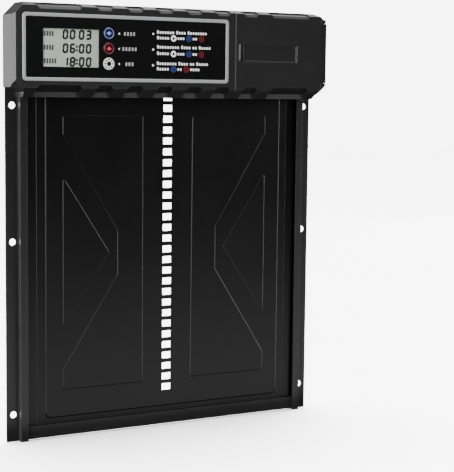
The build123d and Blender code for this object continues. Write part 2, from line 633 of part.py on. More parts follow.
TO_AXLE = acos((SHAFT_DEPTH - AXLE_DEPTH) / COARSE_CENTRES)
AXLE_ANGLE = meshing(0, OUTPUT_TEETH, SMALL_TEETH, TO_AXLE)
AXLE_HUB_RADIUS = 3.0
with BuildPart() as compound_gear:
    wheel(gear_points(SMALL_TEETH, COARSE_MODULE), AXLE_ANGLE, AXLE_DEPTH, AXLE_Z,
          (GEAR_X[0] - GEAR_OVERLAP, LARGE_X[0]))
    wheel(gear_points(LARGE_TEETH, FINE_MODULE), AXLE_ANGLE, AXLE_DEPTH, AXLE_Z, LARGE_X)
    roller(AXLE_DEPTH, AXLE_Z, AXLE_HUB_RADIUS, LARGE_X[1], PLATES_X[2][0] - GEAR_OVERLAP)
    roller(AXLE_DEPTH, AXLE_Z, AXLE_RADIUS + RUNNING_FIT, *BORE_X, Mode.SUBTRACT)
compound_gear.part.label = "compound_gear"
export_step(compound_gear.part, "parts/compound_gear.step")

with BuildPart() as gear_axle:
    roller(AXLE_DEPTH, AXLE_Z, AXLE_RADIUS, PLATES_X[1][0] - 0.4, PLATES_X[2][1] - 0.2)
gear_axle.part.label = "gear_axle"
export_step(gear_axle.part, "parts/gear_axle.step")

MOTOR_ANGLE = meshing(AXLE_ANGLE, LARGE_TEETH, MOTOR_TEETH, pi / 2)
MOTOR_SHAFT_RADIUS = 1.0
MOTOR_SHAFT_X = (11.5, 23.4)
with BuildPart() as motor_gear:
    wheel(gear_points(MOTOR_TEETH, FINE_MODULE), MOTOR_ANGLE, MOTOR_DEPTH, MOTOR_Z,
          (LARGE_X[0] - GEAR_OVERLAP, LARGE_X[1] + GEAR_OVERLAP))
    roller(MOTOR_DEPTH, MOTOR_Z, MOTOR_SHAFT_RADIUS + PRESS_FIT, *BORE_X, Mode.SUBTRACT)
motor_gear.part.label = "motor_gear"
export_step(motor_gear.part, "parts/motor_gear.step")

with BuildPart() as motor_shaft:
    roller(MOTOR_DEPTH, MOTOR_Z, MOTOR_SHAFT_RADIUS, *MOTOR_SHAFT_X)
motor_shaft.part.label = "motor_shaft"
export_step(motor_shaft.part, "parts/motor_shaft.step")

BUSH_RADIUS = 3.0
BUSH_COLLAR = 0.6
with BuildPart() as shaft_bushes:
    for low, high in (PLATES_X[0], PLATES_X[2]):
        roller(SHAFT_DEPTH, SHAFT_Z, BUSH_RADIUS, low, high)
    for start in (PLATES_X[0][1], PLATES_X[2][0] - BUSH_COLLAR):
        roller(SHAFT_DEPTH, SHAFT_Z, BUSH_RADIUS + 1.0, start, start + BUSH_COLLAR)
    roller(SHAFT_DEPTH, SHAFT_Z, SHAFT_RADIUS + RUNNING_FIT, *BORE_X, Mode.SUBTRACT)
shaft_bushes.part.label = "shaft_bushes"
export_step(shaft_bushes.part, "parts/shaft_bushes.step")

# The bracket: three plates, tied together at the bottom and the top, with a screw ear at each end.
PLATE_DEPTHS = (INNER_BACK, 25.8)
PLATE_SHEET = 1.5
PLATE_BOTTOM = 331.0
PLATE_TOPS = (354.0, 376.0, 376.0)
EAR_DEPTHS = (INNER_BACK, 12.0)
EAR_Z = (334.0, 354.0)
EAR_ENDS = (-17.0, 32.0)
SHAFT_WINDOW_RADIUS = 4.4      # the middle plate only clears the pinion's shaft
with BuildPart() as gear_bracket:
    for x_range, top in zip(PLATES_X, PLATE_TOPS):
        block(x_range, PLATE_DEPTHS, (PLATE_BOTTOM, top))
    tie_depths = (EAR_DEPTHS[1], PLATE_DEPTHS[1])
    block((PLATES_X[0][0], PLATES_X[2][1]), tie_depths, (PLATE_BOTTOM, PLATE_BOTTOM + PLATE_SHEET))
    block((PLATES_X[1][0], PLATES_X[2][1]), tie_depths, (PLATE_TOPS[1] - PLATE_SHEET, PLATE_TOPS[1]))
    block((EAR_ENDS[0], PLATES_X[0][1]), EAR_DEPTHS, EAR_Z)
    block((PLATES_X[2][0], EAR_ENDS[1]), EAR_DEPTHS, EAR_Z)
    for x, z in BRACKET_SCREWS:
        peg(x, z, PILOT_RADIUS, *BOX_DEPTHS, Mode.SUBTRACT)
    for low, high in (PLATES_X[0], PLATES_X[2]):
        roller(SHAFT_DEPTH, SHAFT_Z, BUSH_RADIUS + PRESS_FIT, low, high, Mode.SUBTRACT)
    roller(SHAFT_DEPTH, SHAFT_Z, SHAFT_WINDOW_RADIUS, *PLATES_X[1], Mode.SUBTRACT)
    roller(AXLE_DEPTH, AXLE_Z, AXLE_RADIUS + PRESS_FIT, PLATES_X[1][0], PLATES_X[2][1], Mode.SUBTRACT)
    roller(MOTOR_DEPTH, MOTOR_Z, MOTOR_SHAFT_RADIUS + 1.2, *PLATES_X[2], Mode.SUBTRACT)
gear_bracket.part.label = "gear_bracket"
export_step(gear_bracket.part, "parts/gear_bracket.step")

MOTOR_HALF_HEIGHT = 6.0
MOTOR_HALF_DEPTH = 5.0
GEARBOX_X = (PLATES_X[2][1], 31.5)
MOTOR_LENGTH = 15.0
END_BEARING_RADIUS = 2.0
with BuildPart() as motor_gearbox:
    block(GEARBOX_X, (MOTOR_DEPTH - MOTOR_HALF_DEPTH, MOTOR_DEPTH + MOTOR_HALF_DEPTH),
          (MOTOR_Z - MOTOR_HALF_HEIGHT, MOTOR_Z + MOTOR_HALF_HEIGHT))
    fillet(motor_gearbox.edges().filter_by(Axis.X), 1.0)
    roller(MOTOR_DEPTH, MOTOR_Z, MOTOR_SHAFT_RADIUS + 0.1, MOTOR_SHAFT_X[0], MOTOR_SHAFT_X[1] + 0.4,
           Mode.SUBTRACT)
motor_gearbox.part.label = "motor_gearbox"
export_step(motor_gearbox.part, "parts/motor_gearbox.step")

with BuildPart() as drive_motor:
    with BuildSketch(across(GEARBOX_X[1])):
        with Locations((-MOTOR_DEPTH, MOTOR_Z)):
            Circle(MOTOR_HALF_HEIGHT)
            Rectangle(2 * MOTOR_HALF_DEPTH, 3 * MOTOR_HALF_HEIGHT, mode=Mode.INTERSECT)
    extrude(amount=MOTOR_LENGTH)
    motor_end = GEARBOX_X[1] + MOTOR_LENGTH
    roller(MOTOR_DEPTH, MOTOR_Z, END_BEARING_RADIUS, motor_end, motor_end + 1.0)
drive_motor.part.label = "drive_motor"
export_step(drive_motor.part, "parts/drive_motor.step")


# ---- battery bay -----------------------------------------------------------------------------------
CELL_DEPTH = 19.2
CELLS_MIDDLE = sum(TRAY_X) / 2
CELL_XS = [CELLS_MIDDLE + (index - (CELL_COUNT - 1) / 2) * CELL_PITCH for index in range(CELL_COUNT)]
CONTACT = 0.5                  # thickness of a contact plate
CONTACT_HALF_WIDTH = 5.0
NUB = 1.0                      # the raised end of a cell
NUB_RADIUS = 2.6
TRAY_WALL = 1.5
TRAY_FLOOR = 1.3
TRAY_FRONT = 24.0
RIB_HALF = 0.4                 # low ribs between the cells
RIB_FRONT = 16.0
RIB_Z = (335.0, 365.0)


def standing(x, radius, bottom, height):
    """An upright round bar in the battery bay."""
    with BuildSketch(level(bottom)) as disc:
        with Locations((x, -CELL_DEPTH)):
            Circle(radius)
    extrude(disc.sketch, amount=height)


with BuildPart() as battery_tray:
    block(TRAY_X, (INNER_BACK, TRAY_FRONT), (TRAY_Z[0] - TRAY_WALL, TRAY_Z[1] + TRAY_WALL))
    block((TRAY_X[0] + TRAY_WALL, TRAY_X[1] - TRAY_WALL), (INNER_BACK + TRAY_FLOOR, BOX_DEPTHS[1]), TRAY_Z,
          Mode.SUBTRACT)
    for x in [CELL_XS[0] - CELL_PITCH / 2] + [x + CELL_PITCH / 2 for x in CELL_XS]:
        block((x - RIB_HALF, x + RIB_HALF), (INNER_BACK + TRAY_FLOOR, RIB_FRONT), RIB_Z)
battery_tray.part.label = "battery_tray"
export_step(battery_tray.part, "parts/battery_tray.step")

for index, x in enumerate(CELL_XS):
    nub_up = index % 2 == 0
    nub_end = TRAY_Z[1] - CONTACT if nub_up else TRAY_Z[0] + CONTACT
    body_low = nub_end - CELL_LENGTH if nub_up else nub_end + NUB
    nub_low = nub_end - NUB if nub_up else nub_end
    with BuildPart() as cell:
        standing(x, CELL_RADIUS, body_low, CELL_LENGTH - NUB)
        fillet(cell.edges(), 0.5)
        standing(x, NUB_RADIUS, nub_low, NUB)
    cell.part.label = f"battery_cell_{index + 1}"
    export_step(cell.part, f"parts/battery_cell_{index + 1}.step")

with BuildPart() as contact_plates:
    for x in CELL_XS:
        for low in (TRAY_Z[0], TRAY_Z[1] - CONTACT):
            block((x - CONTACT_HALF_WIDTH, x + CONTACT_HALF_WIDTH),
                  (CELL_DEPTH - CONTACT_HALF_WIDTH, TRAY_FRONT), (low, low + CONTACT))
contact_plates.part.label = "contact_plates"
export_step(contact_plates.part, "parts/contact_plates.step")

SPRING_LENGTH = TRAY_Z[1] - TRAY_Z[0] - 2 * CONTACT - CELL_LENGTH
SPRING_RADIUS = 3.4
SPRING_TURNS = 3
WIRE = 0.35
with BuildPart() as contact_springs:
    for index, x in enumerate(CELL_XS):
        low = TRAY_Z[0] + CONTACT if index % 2 == 0 else TRAY_Z[1] - CONTACT - SPRING_LENGTH
        with BuildLine(Plane((x, -CELL_DEPTH, low + WIRE - ORIGIN_HEIGHT))) as coil:
            rise = SPRING_LENGTH - 2 * WIRE
            Helix(pitch=rise / SPRING_TURNS, height=rise, radius=SPRING_RADIUS)
        with BuildSketch(Plane(origin=coil.line @ 0, z_dir=coil.line % 0)):
            Circle(WIRE)
        sweep(path=coil.line, is_frenet=True)
contact_springs.part.label = "contact_springs"
export_step(contact_springs.part, "parts/contact_springs.step")

# ---- battery cover, its hinge pin and its latch ------------------------------------------------------
PLATE_BACK = INNER_FRONT + 0.2
RECESS_X = (66.0, 123.8)
RECESS_Z = (339.6, 356.4)
RECESS_DEPTH = 1.8
RECESS_SLOPE = 1.2             # how far its sides slope in
BACKING = 1.2                  # extra thickness behind the recess
LATCH_TRAVEL = 1.6
LATCH_TAB_X = (60.3, 62.5)
LATCH_BODY_X = (57.4, 63.2)
LATCH_BACK = PLATE_BACK - 2.4
TAB_RISE = 0.8
TAB_INSET = 0.5                # the tab is this much lower than the latch's body at each end
BEAD_RADIUS = 1.8              # the rounded hinge edge
WHOLE_X = (-BOX_HALF_WIDTH - 5, BOX_HALF_WIDTH + 5)
RIB_THICKNESS = 1.2


def recess_outline(depth, inwards):
    """The finger recess's rounded rectangle at one depth, drawn in by an amount all round."""
    with BuildSketch(facing(depth)) as shape:
        with Locations((sum(RECESS_X) / 2, sum(RECESS_Z) / 2)):
            RectangleRounded(RECESS_X[1] - RECESS_X[0] - 2 * inwards,
                             RECESS_Z[1] - RECESS_Z[0] - 2 * inwards, 0.8)
    return shape.sketch.faces()


with BuildPart() as battery_cover:
    add(box_outside.part)
    free_edge = SEAM_X + COVER_GAP
    block((WHOLE_X[0], free_edge), BOX_DEPTHS, BOX_HEIGHTS, Mode.SUBTRACT)
    block(WHOLE_X, (0, PLATE_BACK), BOX_HEIGHTS, Mode.SUBTRACT)
    with BuildSketch(level(BOX_HEIGHTS[0])):
        outline([(free_edge, -BOX_FRONT + COVER_EDGE), (free_edge, -BOX_FRONT - 1),
                 (free_edge + COVER_EDGE + 1, -BOX_FRONT - 1)])
    extrude(amount=BOX_HEIGHTS[1] - BOX_HEIGHTS[0], mode=Mode.SUBTRACT)
    # the corners at the hinge end stay with the housing, past an end that slopes so that it can swing out
    for low, high in ((BOX_HEIGHTS[0], HINGE_Z[0]), (HINGE_Z[1], BOX_HEIGHTS[1])):
        block((CORNER_X - 0.2, WHOLE_X[1]), BOX_DEPTHS, (low, high), Mode.SUBTRACT)
        with BuildSketch(level(low)):
            outline([(CORNER_X - 0.2, -BOX_FRONT), (CORNER_X - 0.2, -PLATE_BACK),
                     (CORNER_X - 1.7, -PLATE_BACK)])
        extrude(amount=high - low, mode=Mode.SUBTRACT)
    hinge_rod(BEAD_RADIUS, HINGE_Z)
    # long finger recess beside the latch
    block((RECESS_X[0] - 1, RECESS_X[1] + 1), (PLATE_BACK - BACKING, PLATE_BACK),
          (RECESS_Z[0] - 1, RECESS_Z[1] + 1))
    loft(recess_outline(BOX_FRONT - RECESS_DEPTH, RECESS_SLOPE) + recess_outline(BOX_FRONT, 0), ruled=True,
         mode=Mode.SUBTRACT)
    # opening for the latch tab, and the two ribs that the latch slides between
    block((LATCH_TAB_X[0] - 0.9, LATCH_TAB_X[1] + LATCH_TRAVEL + 0.6), BOX_DEPTHS,
          (LATCH_Z[0] - 0.3, LATCH_Z[1] + 0.3), Mode.SUBTRACT)
    for z in (LATCH_Z[0] - 0.2 - RIB_THICKNESS, LATCH_Z[1] + 0.2):
        block((LATCH_BODY_X[0] + 1.5, RECESS_X[0] - 1), (LATCH_BACK - 0.2, PLATE_BACK),
              (z, z + RIB_THICKNESS))
    hinge_rod(PIN_RADIUS + 0.1, HINGE_Z, Mode.SUBTRACT)
battery_cover.part.label = "battery_cover"
export_step(battery_cover.part, "parts/battery_cover.step")

with BuildPart() as hinge_pin:
    hinge_rod(PIN_RADIUS, PIN_Z)
hinge_pin.part.label = "hinge_pin"
export_step(hinge_pin.part, "parts/hinge_pin.step")

with BuildPart() as cover_latch:
    block(LATCH_TAB_X, (PLATE_BACK - 0.1, BOX_FRONT + TAB_RISE), (LATCH_Z[0] + TAB_INSET, LATCH_Z[1] - TAB_INSET))
    chamfer(cover_latch.faces().sort_by(Axis.Y)[0].edges(), 0.5)
    block(LATCH_BODY_X, (LATCH_BACK, PLATE_BACK - 0.1), LATCH_Z)
    block((SEAM_X - 1.4, LATCH_BODY_X[0]), (LATCH_BACK, PLATE_BACK - 0.8),
          (LATCH_Z[0] + NOSE_INSET, LATCH_Z[1] - NOSE_INSET))
cover_latch.part.label = "cover_latch"
export_step(cover_latch.part, "parts/cover_latch.step")


# ---- screws ----------------------------------------------------------------------------------------
SCREW_HEAD_RADIUS = 2.7
SCREW_HEAD = 2.0
SHANK_RADIUS = 1.5
DRIVE_SLOT = (3.0, 0.7)


def pan_screw(x, z, head_back, tip):
    """A pan-head screw along Y: its head reaches forward from head_back, and its shank runs to the tip."""
    head_front = head_back + SCREW_HEAD
    points_back = tip < head_back
    seat = head_back if points_back else head_front
    peg(x, z, SCREW_HEAD_RADIUS, head_back, head_front)
    peg(x, z, SHANK_RADIUS, min(seat, tip), max(seat, tip))
    with BuildSketch(facing(head_front if points_back else head_back)) as cross:
        with Locations((x, z)):
            Rectangle(*DRIVE_SLOT)
            Rectangle(*DRIVE_SLOT[::-1])
    extrude(cross.sketch, amount=-SCREW_HEAD / 2 if points_back else SCREW_HEAD / 2, mode=Mode.SUBTRACT)


with BuildPart() as frame_screws:
    for side in (-1, 1):
        for z in FRAME_SCREW_Z:
            pan_screw(side * FRAME_SCREW_X, z, REAR_COVER_FRONT, 0.1)
frame_screws.part.label = "frame_screws"
export_step(frame_screws.part, "parts/frame_screws.step")

with BuildPart() as box_screws:
    for x, z in BOX_BOSSES:
        pan_screw(x, z, REAR_COVER_BACK - SCREW_HEAD, BOSS_FRONT - WALL - 1.0)
box_screws.part.label = "box_screws"
export_step(box_screws.part, "parts/box_screws.step")

with BuildPart() as bracket_screws:
    for x, z in BRACKET_SCREWS:
        pan_screw(x, z, EAR_DEPTHS[1], REAR_COVER_BACK)
bracket_screws.part.label = "bracket_screws"
export_step(bracket_screws.part, "parts/bracket_screws.step")

with BuildPart() as board_screws:
    for x, z in BOARD_POSTS:
        peg(x, z, 2 * BOARD_SCREW_RADIUS, BOARD_BACK - 1.4, BOARD_BACK)
        peg(x, z, BOARD_SCREW_RADIUS, BOARD_BACK, INNER_FRONT - 2.0)
board_screws.part.label = "board_screws"
export_step(board_screws.part, "parts/board_screws.step")
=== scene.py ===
"""Automatic coop door: materials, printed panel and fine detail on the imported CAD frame."""
import math
from collections import namedtuple

import bmesh
import bpy
from mathutils import Matrix, Vector


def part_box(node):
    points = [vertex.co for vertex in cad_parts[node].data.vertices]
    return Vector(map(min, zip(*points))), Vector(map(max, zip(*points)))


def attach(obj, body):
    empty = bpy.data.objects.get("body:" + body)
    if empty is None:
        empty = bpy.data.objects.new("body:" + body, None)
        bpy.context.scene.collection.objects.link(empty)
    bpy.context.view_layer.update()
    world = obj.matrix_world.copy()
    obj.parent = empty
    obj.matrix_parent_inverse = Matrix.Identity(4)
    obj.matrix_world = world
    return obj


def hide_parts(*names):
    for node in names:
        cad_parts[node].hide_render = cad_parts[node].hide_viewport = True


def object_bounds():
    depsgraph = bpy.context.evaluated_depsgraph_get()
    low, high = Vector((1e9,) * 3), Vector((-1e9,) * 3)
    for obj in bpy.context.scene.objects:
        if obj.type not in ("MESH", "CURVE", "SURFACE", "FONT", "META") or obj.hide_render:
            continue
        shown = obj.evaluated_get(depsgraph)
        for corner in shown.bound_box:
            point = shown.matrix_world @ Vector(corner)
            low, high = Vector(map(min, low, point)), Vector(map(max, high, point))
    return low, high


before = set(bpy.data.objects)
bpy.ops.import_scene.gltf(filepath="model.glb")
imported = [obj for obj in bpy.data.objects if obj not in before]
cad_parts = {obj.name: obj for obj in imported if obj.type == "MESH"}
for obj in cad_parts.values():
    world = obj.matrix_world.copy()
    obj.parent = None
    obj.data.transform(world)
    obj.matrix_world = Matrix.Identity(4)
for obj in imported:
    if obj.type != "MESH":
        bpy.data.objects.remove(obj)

MM = 0.001
cad_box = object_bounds()


# ---- where things are, read from the frame ------------------------------------------------------
Span = namedtuple("Span", "low high middle size")


def span(node):
    """A CAD node's box: its low and high corners, its middle and its size."""
    low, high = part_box(node)
    return Span(low, high, (low + high) / 2, high - low)


PANEL = span("display_window")
LCD = span("lcd_glass")
KEYS = {name: span(f"{name}_button") for name in ("open", "close", "set")}
CELLS = [f"battery_cell_{number}" for number in (1, 2, 3, 4)]
PANEL_FRONT = PANEL.low.y
INK_THICKNESS = 0.04 * MM
KEY_FLANGE = 1.0 * MM                # how far the hidden flange of a key reaches past its cap
KEY_FLANGE_THICKNESS = 0.7 * MM
KEY_RADIUS = KEYS["open"].size.x / 2 - KEY_FLANGE
KEY_HOLE_RADIUS = KEY_RADIUS + 0.25 * MM
LCD_LIP = 1.1 * MM                   # the overlay's window is this much smaller than the display all round


# ---- materials ----------------------------------------------------------------------------------
COAT_ROUGHNESS = 0.06
EDGE_STARTS = 0.995                  # how far a bevelled normal agrees with the flat one where an edge begins
EDGE_IS_FULL = 0.80
EDGE_SAMPLES = 4
SOFT_EDGE_SAMPLES = 6


class Surface:
    """A principled material, built step by step from procedural nodes in object space."""

    def __init__(self, name, colour, roughness, metallic=0.0, coat=0.0):
        self.material = bpy.data.materials.new(name)
        self.material.use_nodes = True
        self.nodes = self.material.node_tree.nodes
        self.links = self.material.node_tree.links
        self.shader = self.nodes["Principled BSDF"]
        self.place = self.nodes.new("ShaderNodeTexCoord").outputs["Object"]
        self.colour = self.rgb(colour)
        self.roughness = self.value(roughness)
        self.metal = self.value(metallic)
        self.height = None
        self.shader.inputs["Coat Weight"].default_value = coat
        self.shader.inputs["Coat Roughness"].default_value = COAT_ROUGHNESS

    def rgb(self, colour):
        """A node that holds one colour."""
        node = self.nodes.new("ShaderNodeRGB")
        node.outputs[0].default_value = (*colour, 1.0)
        return node.outputs[0]

    def value(self, number):
        """A node that holds one number."""
        node = self.nodes.new("ShaderNodeValue")
        node.outputs[0].default_value = number
        return node.outputs[0]

    def math(self, operation, a, b):
        """Two sockets or numbers put through a math node."""
        node = self.nodes.new("ShaderNodeMath")
        node.operation = operation
        for socket, item in zip(node.inputs, (a, b)):
            if isinstance(item, (int, float)):
                socket.default_value = item
            else:
                self.links.new(item, socket)
        return node.outputs[0]

    def axis(self, name):
        """The X, Y or Z coordinate in the row's frame."""
        node = self.nodes.new("ShaderNodeSeparateXYZ")
        self.links.new(self.place, node.inputs[0])
        return node.outputs[name]

    def noise(self, size, detail=3.0, stretch=(1, 1, 1)):
        """Noise whose largest features are about this size in metres."""
        mapping = self.nodes.new("ShaderNodeMapping")
        mapping.inputs["Scale"].default_value = stretch
        self.links.new(self.place, mapping.inputs["Vector"])
        node = self.nodes.new("ShaderNodeTexNoise")
        node.inputs["Scale"].default_value = 1.0 / size
        node.inputs["Detail"].default_value = detail
        self.links.new(mapping.outputs[0], node.inputs["Vector"])
        return node.outputs["Fac"]

    def ranged(self, socket, low, high):
        """A mask that is 0 where the socket's value is low and 1 where it is high."""
        node = self.nodes.new("ShaderNodeMapRange")
        node.inputs["From Min"].default_value = low
        node.inputs["From Max"].default_value = high
        self.links.new(socket, node.inputs["Value"])
        return node.outputs["Result"]

    def mixed(self, mask, below, above):
        """One colour over another where the mask is high."""
        node = self.nodes.new("ShaderNodeMix")
        node.data_type = "RGBA"
        self.links.new(mask, node.inputs["Factor"])
        self.links.new(below, node.inputs["A"])
        self.links.new(above, node.inputs["B"])
        return node.outputs["Result"]

    def tint(self, mask, colour, strength=1.0):
        """Blends another colour in where the mask is high."""
        self.colour = self.mixed(self.math("MULTIPLY", mask, strength), self.colour, self.rgb(colour))

    def roughen(self, mask, amount):
        """Adds roughness where the mask is high."""
        self.roughness = self.math("ADD", self.roughness, self.math("MULTIPLY", mask, amount))

    def raise_by(self, mask, metres):
        """Adds relief where the mask is high."""
        layer = self.math("MULTIPLY", mask, metres)
        self.height = layer if self.height is None else self.math("ADD", self.height, layer)

    def edges(self, radius):
        """A mask that is 1 on sharp edges and 0 on flat ground."""
        bevel = self.nodes.new("ShaderNodeBevel")
        bevel.inputs["Radius"].default_value = radius
        bevel.samples = EDGE_SAMPLES
        flat = self.nodes.new("ShaderNodeNewGeometry")
        dot = self.nodes.new("ShaderNodeVectorMath")
        dot.operation = "DOT_PRODUCT"
        self.links.new(bevel.outputs["Normal"], dot.inputs[0])
        self.links.new(flat.outputs["Normal"], dot.inputs[1])
        return self.ranged(dot.outputs["Value"], EDGE_STARTS, EDGE_IS_FULL)

    def finish(self, soft_edge=0.0):
        """Joins the layers to the shader; soft_edge rounds the shading of sharp edges."""
        self.links.new(self.colour, self.shader.inputs["Base Color"])
        self.links.new(self.roughness, self.shader.inputs["Roughness"])
        self.links.new(self.metal, self.shader.inputs["Metallic"])
        normal = None
        if soft_edge:
            bevel = self.nodes.new("ShaderNodeBevel")
            bevel.inputs["Radius"].default_value = soft_edge
            bevel.samples = SOFT_EDGE_SAMPLES
            normal = bevel.outputs["Normal"]
        if self.height is not None:
            bump = self.nodes.new("ShaderNodeBump")
            bump.inputs["Distance"].default_value = 1.0
            self.links.new(self.height, bump.inputs["Height"])
            if normal is not None:
                self.links.new(normal, bump.inputs["Normal"])
            normal = bump.outputs["Normal"]
        if normal is not None:
            self.links.new(normal, self.shader.inputs["Normal"])
        return self.material


def powder_coat(name, grey):
    """Satin black powder coat on sheet metal: fine orange peel, slightly worn on its edges."""
    s = Surface(name, (grey, grey, grey * 1.05), 0.28)
    s.roughen(s.noise(0.045, 2.0), 0.10)
    s.tint(s.noise(0.09, 2.0), (grey * 1.6, grey * 1.6, grey * 1.65), 0.5)
    s.tint(s.edges(0.6 * MM), (0.030, 0.030, 0.032), 0.35)
    s.raise_by(s.noise(0.9 * MM, 2.0), 0.008 * MM)
    return s.finish(0.45 * MM)


def moulded_black(name, grey):
    """Fine-grained black plastic moulding."""
    s = Surface(name, (grey, grey, grey * 1.04), 0.36)
    s.roughen(s.noise(0.03, 3.0), 0.10)
    s.tint(s.noise(0.06, 2.0), (grey * 1.5, grey * 1.5, grey * 1.56), 0.5)
    # Lighter sharp edges: mostly a painted highlight along the edges, with a little edge wear.
    s.tint(s.edges(0.7 * MM), (0.10, 0.10, 0.105), 0.5)
    s.raise_by(s.noise(0.5 * MM, 2.0), 0.008 * MM)
    return s.finish(0.3 * MM)


def silver_paint():
    """Silver paint with a fine metallic fleck."""
    s = Surface("silver_paint", (0.31, 0.315, 0.32), 0.38, metallic=0.25)
    s.roughen(s.noise(0.02, 3.0), 0.10)
    s.tint(s.noise(0.25 * MM, 1.0), (0.50, 0.50, 0.51), 0.35)
    s.tint(s.edges(0.5 * MM), (0.56, 0.56, 0.57), 0.4)
    s.raise_by(s.noise(0.4 * MM, 2.0), 0.004 * MM)
    return s.finish(0.4 * MM)


def gloss_print():
    """The printed overlay: near-black under a clear gloss, with faint handling smears."""
    s = Surface("gloss_print", (0.0038, 0.0038, 0.0042), 0.16, coat=0.35)
    s.roughen(s.noise(0.025, 4.0, (1, 1, 2.2)), 0.10)
    s.raise_by(s.noise(0.012, 2.0), 0.010 * MM)
    return s.finish(0.2 * MM)


def ink(name, colour, roughness=0.45):
    """Screen-printed ink with a slightly uneven coverage."""
    s = Surface(name, colour, roughness)
    s.tint(s.noise(1.2 * MM, 2.0), tuple(c * 0.78 for c in colour), 0.5)
    s.raise_by(s.noise(0.4 * MM, 2.0), 0.006 * MM)
    return s.finish()


def key_plastic(name, colour):
    """Glossy moulded plastic with slight wear on its rims."""
    s = Surface(name, colour, 0.28, coat=0.2)
    s.roughen(s.noise(4 * MM, 3.0), 0.12)
    s.tint(s.noise(6 * MM, 2.0), tuple(c * 0.8 for c in colour), 0.4)
    s.tint(s.edges(0.3 * MM), tuple(0.2 + 0.8 * c for c in colour), 0.15)
    s.raise_by(s.noise(0.5 * MM, 2.0), 0.005 * MM)
    return s.finish(0.25 * MM)


def display_glass():
    """Reflective grey-green display, greyer to the right, with painted shade along its left and top edges
    under the lip of its window.
    """
    left_edge = LCD.low.x + LCD_LIP
    top_edge = LCD.high.z - LCD_LIP
    painted_shade = (0.05, 0.055, 0.05)
    s = Surface("display_glass", (0.36, 0.42, 0.345), 0.22, coat=0.3)
    s.tint(s.ranged(s.axis("X"), LCD.middle.x, LCD.high.x), (0.33, 0.34, 0.315), 0.9)
    s.tint(s.noise(0.03, 2.0), (0.38, 0.44, 0.365), 0.4)
    # Painted shadow: the glass is darkened along its left and top edges, where the window's lip would shade
    # it.
    s.tint(s.ranged(s.axis("X"), left_edge + 2.2 * MM, left_edge), painted_shade, 0.75)
    s.tint(s.ranged(s.axis("Z"), top_edge - 1.8 * MM, top_edge), painted_shade, 0.55)
    s.roughen(s.noise(0.01, 2.0), 0.08)
    s.raise_by(s.noise(0.6 * MM, 1.0), 0.003 * MM)
    return s.finish(0.2 * MM)


def metal(name, colour, stretch=(1, 1, 1)):
    """Bare metal with a drawn or tumbled grain and slightly dull patches."""
    s = Surface(name, colour, 0.26, metallic=1.0)
    grain = s.noise(1.2 * MM, 3.0, stretch)
    s.roughen(grain, 0.18)
    s.tint(s.noise(0.01, 3.0), tuple(c * 0.75 for c in colour), 0.5)
    s.raise_by(grain, 0.005 * MM)
    return s.finish(0.2 * MM)


def nylon():
    """Off-white gear nylon, slightly translucent."""
    s = Surface("nylon", (0.74, 0.72, 0.66), 0.38)
    s.shader.inputs["Subsurface Weight"].default_value = 0.15
    s.shader.inputs["Subsurface Radius"].default_value = (1.0 * MM, 0.8 * MM, 0.6 * MM)
    s.roughen(s.noise(6 * MM, 3.0), 0.12)
    s.tint(s.noise(0.01, 2.0), (0.62, 0.60, 0.54), 0.4)
    s.raise_by(s.noise(0.6 * MM, 2.0), 0.008 * MM)
    return s.finish(0.2 * MM)


def solder_mask():
    """Green board with the ghost of copper tracks under the mask."""
    s = Surface("solder_mask", (0.012, 0.10, 0.035), 0.30, coat=0.2)
    tracks = s.ranged(s.noise(4 * MM, 0.0, (1, 1, 4)), 0.49, 0.51)
    s.tint(tracks, (0.03, 0.19, 0.06), 0.8)
    s.raise_by(tracks, 0.02 * MM)
    return s.finish()


CELL_BAND = 12.8 * MM                # length of the copper-coloured band, from the plus end
CELL_BAND_BLUR = 0.2 * MM
CELL_PLUS_STEEL = 1.6 * MM           # bare steel at the two ends
CELL_MINUS_STEEL = 0.4 * MM
CELL_STEEL_BLUR = 0.1 * MM


def cell_sleeve(node, band_on_top):
    """A battery cell: dark sleeve, a copper-coloured band at the plus end and bare steel ends."""
    cell = span(node)
    plus_end = cell.high.z if band_on_top else cell.low.z
    minus_end = cell.low.z if band_on_top else cell.high.z
    inward = -1 if band_on_top else 1
    s = Surface(f"sleeve_{node}", (0.012, 0.012, 0.014), 0.24, coat=0.3)
    s.tint(s.noise(4 * MM, 2.0), (0.022, 0.022, 0.025), 0.5)
    up = s.axis("Z")
    band_ends = plus_end + inward * CELL_BAND
    s.tint(s.ranged(up, band_ends + inward * CELL_BAND_BLUR, band_ends), (0.50, 0.22, 0.075))
    plus_ends = plus_end + inward * CELL_PLUS_STEEL
    minus_ends = minus_end - inward * CELL_MINUS_STEEL
    steel = s.math("ADD",
                   s.ranged(up, plus_ends + inward * CELL_STEEL_BLUR, plus_ends),
                   s.ranged(up, minus_ends - inward * CELL_STEEL_BLUR, minus_ends))
    s.tint(steel, (0.56, 0.56, 0.57))
    s.metal = steel
    s.raise_by(s.noise(1 * MM, 2.0), 0.006 * MM)
    return s.finish(0.3 * MM)


GLOSS = gloss_print()
KEY_BLUE = key_plastic("key_blue", (0.0008, 0.0024, 0.040))
KEY_RED = key_plastic("key_red", (0.022, 0.0001, 0.0004))
KEY_WHITE = key_plastic("key_white", (0.88, 0.88, 0.88))
RING_BLUE = key_plastic("ring_blue", (0.20, 0.28, 0.52))
RING_RED = key_plastic("ring_red", (0.22, 0.022, 0.034))
WHITE_INK = ink("white_ink", (0.95, 0.95, 0.95))
GREY_INK = ink("grey_ink", (0.34, 0.34, 0.34))
BLUE_INK = ink("blue_ink", (0.0015, 0.005, 0.055))
RED_INK = ink("red_ink", (0.055, 0.0005, 0.0015))
ICON_BLUE_INK = ink("icon_blue_ink", (0.035, 0.07, 0.24))
ICON_RED_INK = ink("icon_red_ink", (0.18, 0.012, 0.020))
PALE_BLUE_INK = ink("pale_blue_ink", (0.26, 0.38, 0.86))
PALE_RED_INK = ink("pale_red_ink", (0.80, 0.045, 0.085))
SEGMENT_INK = ink("lcd_segment", (0.016, 0.018, 0.016), 0.3)
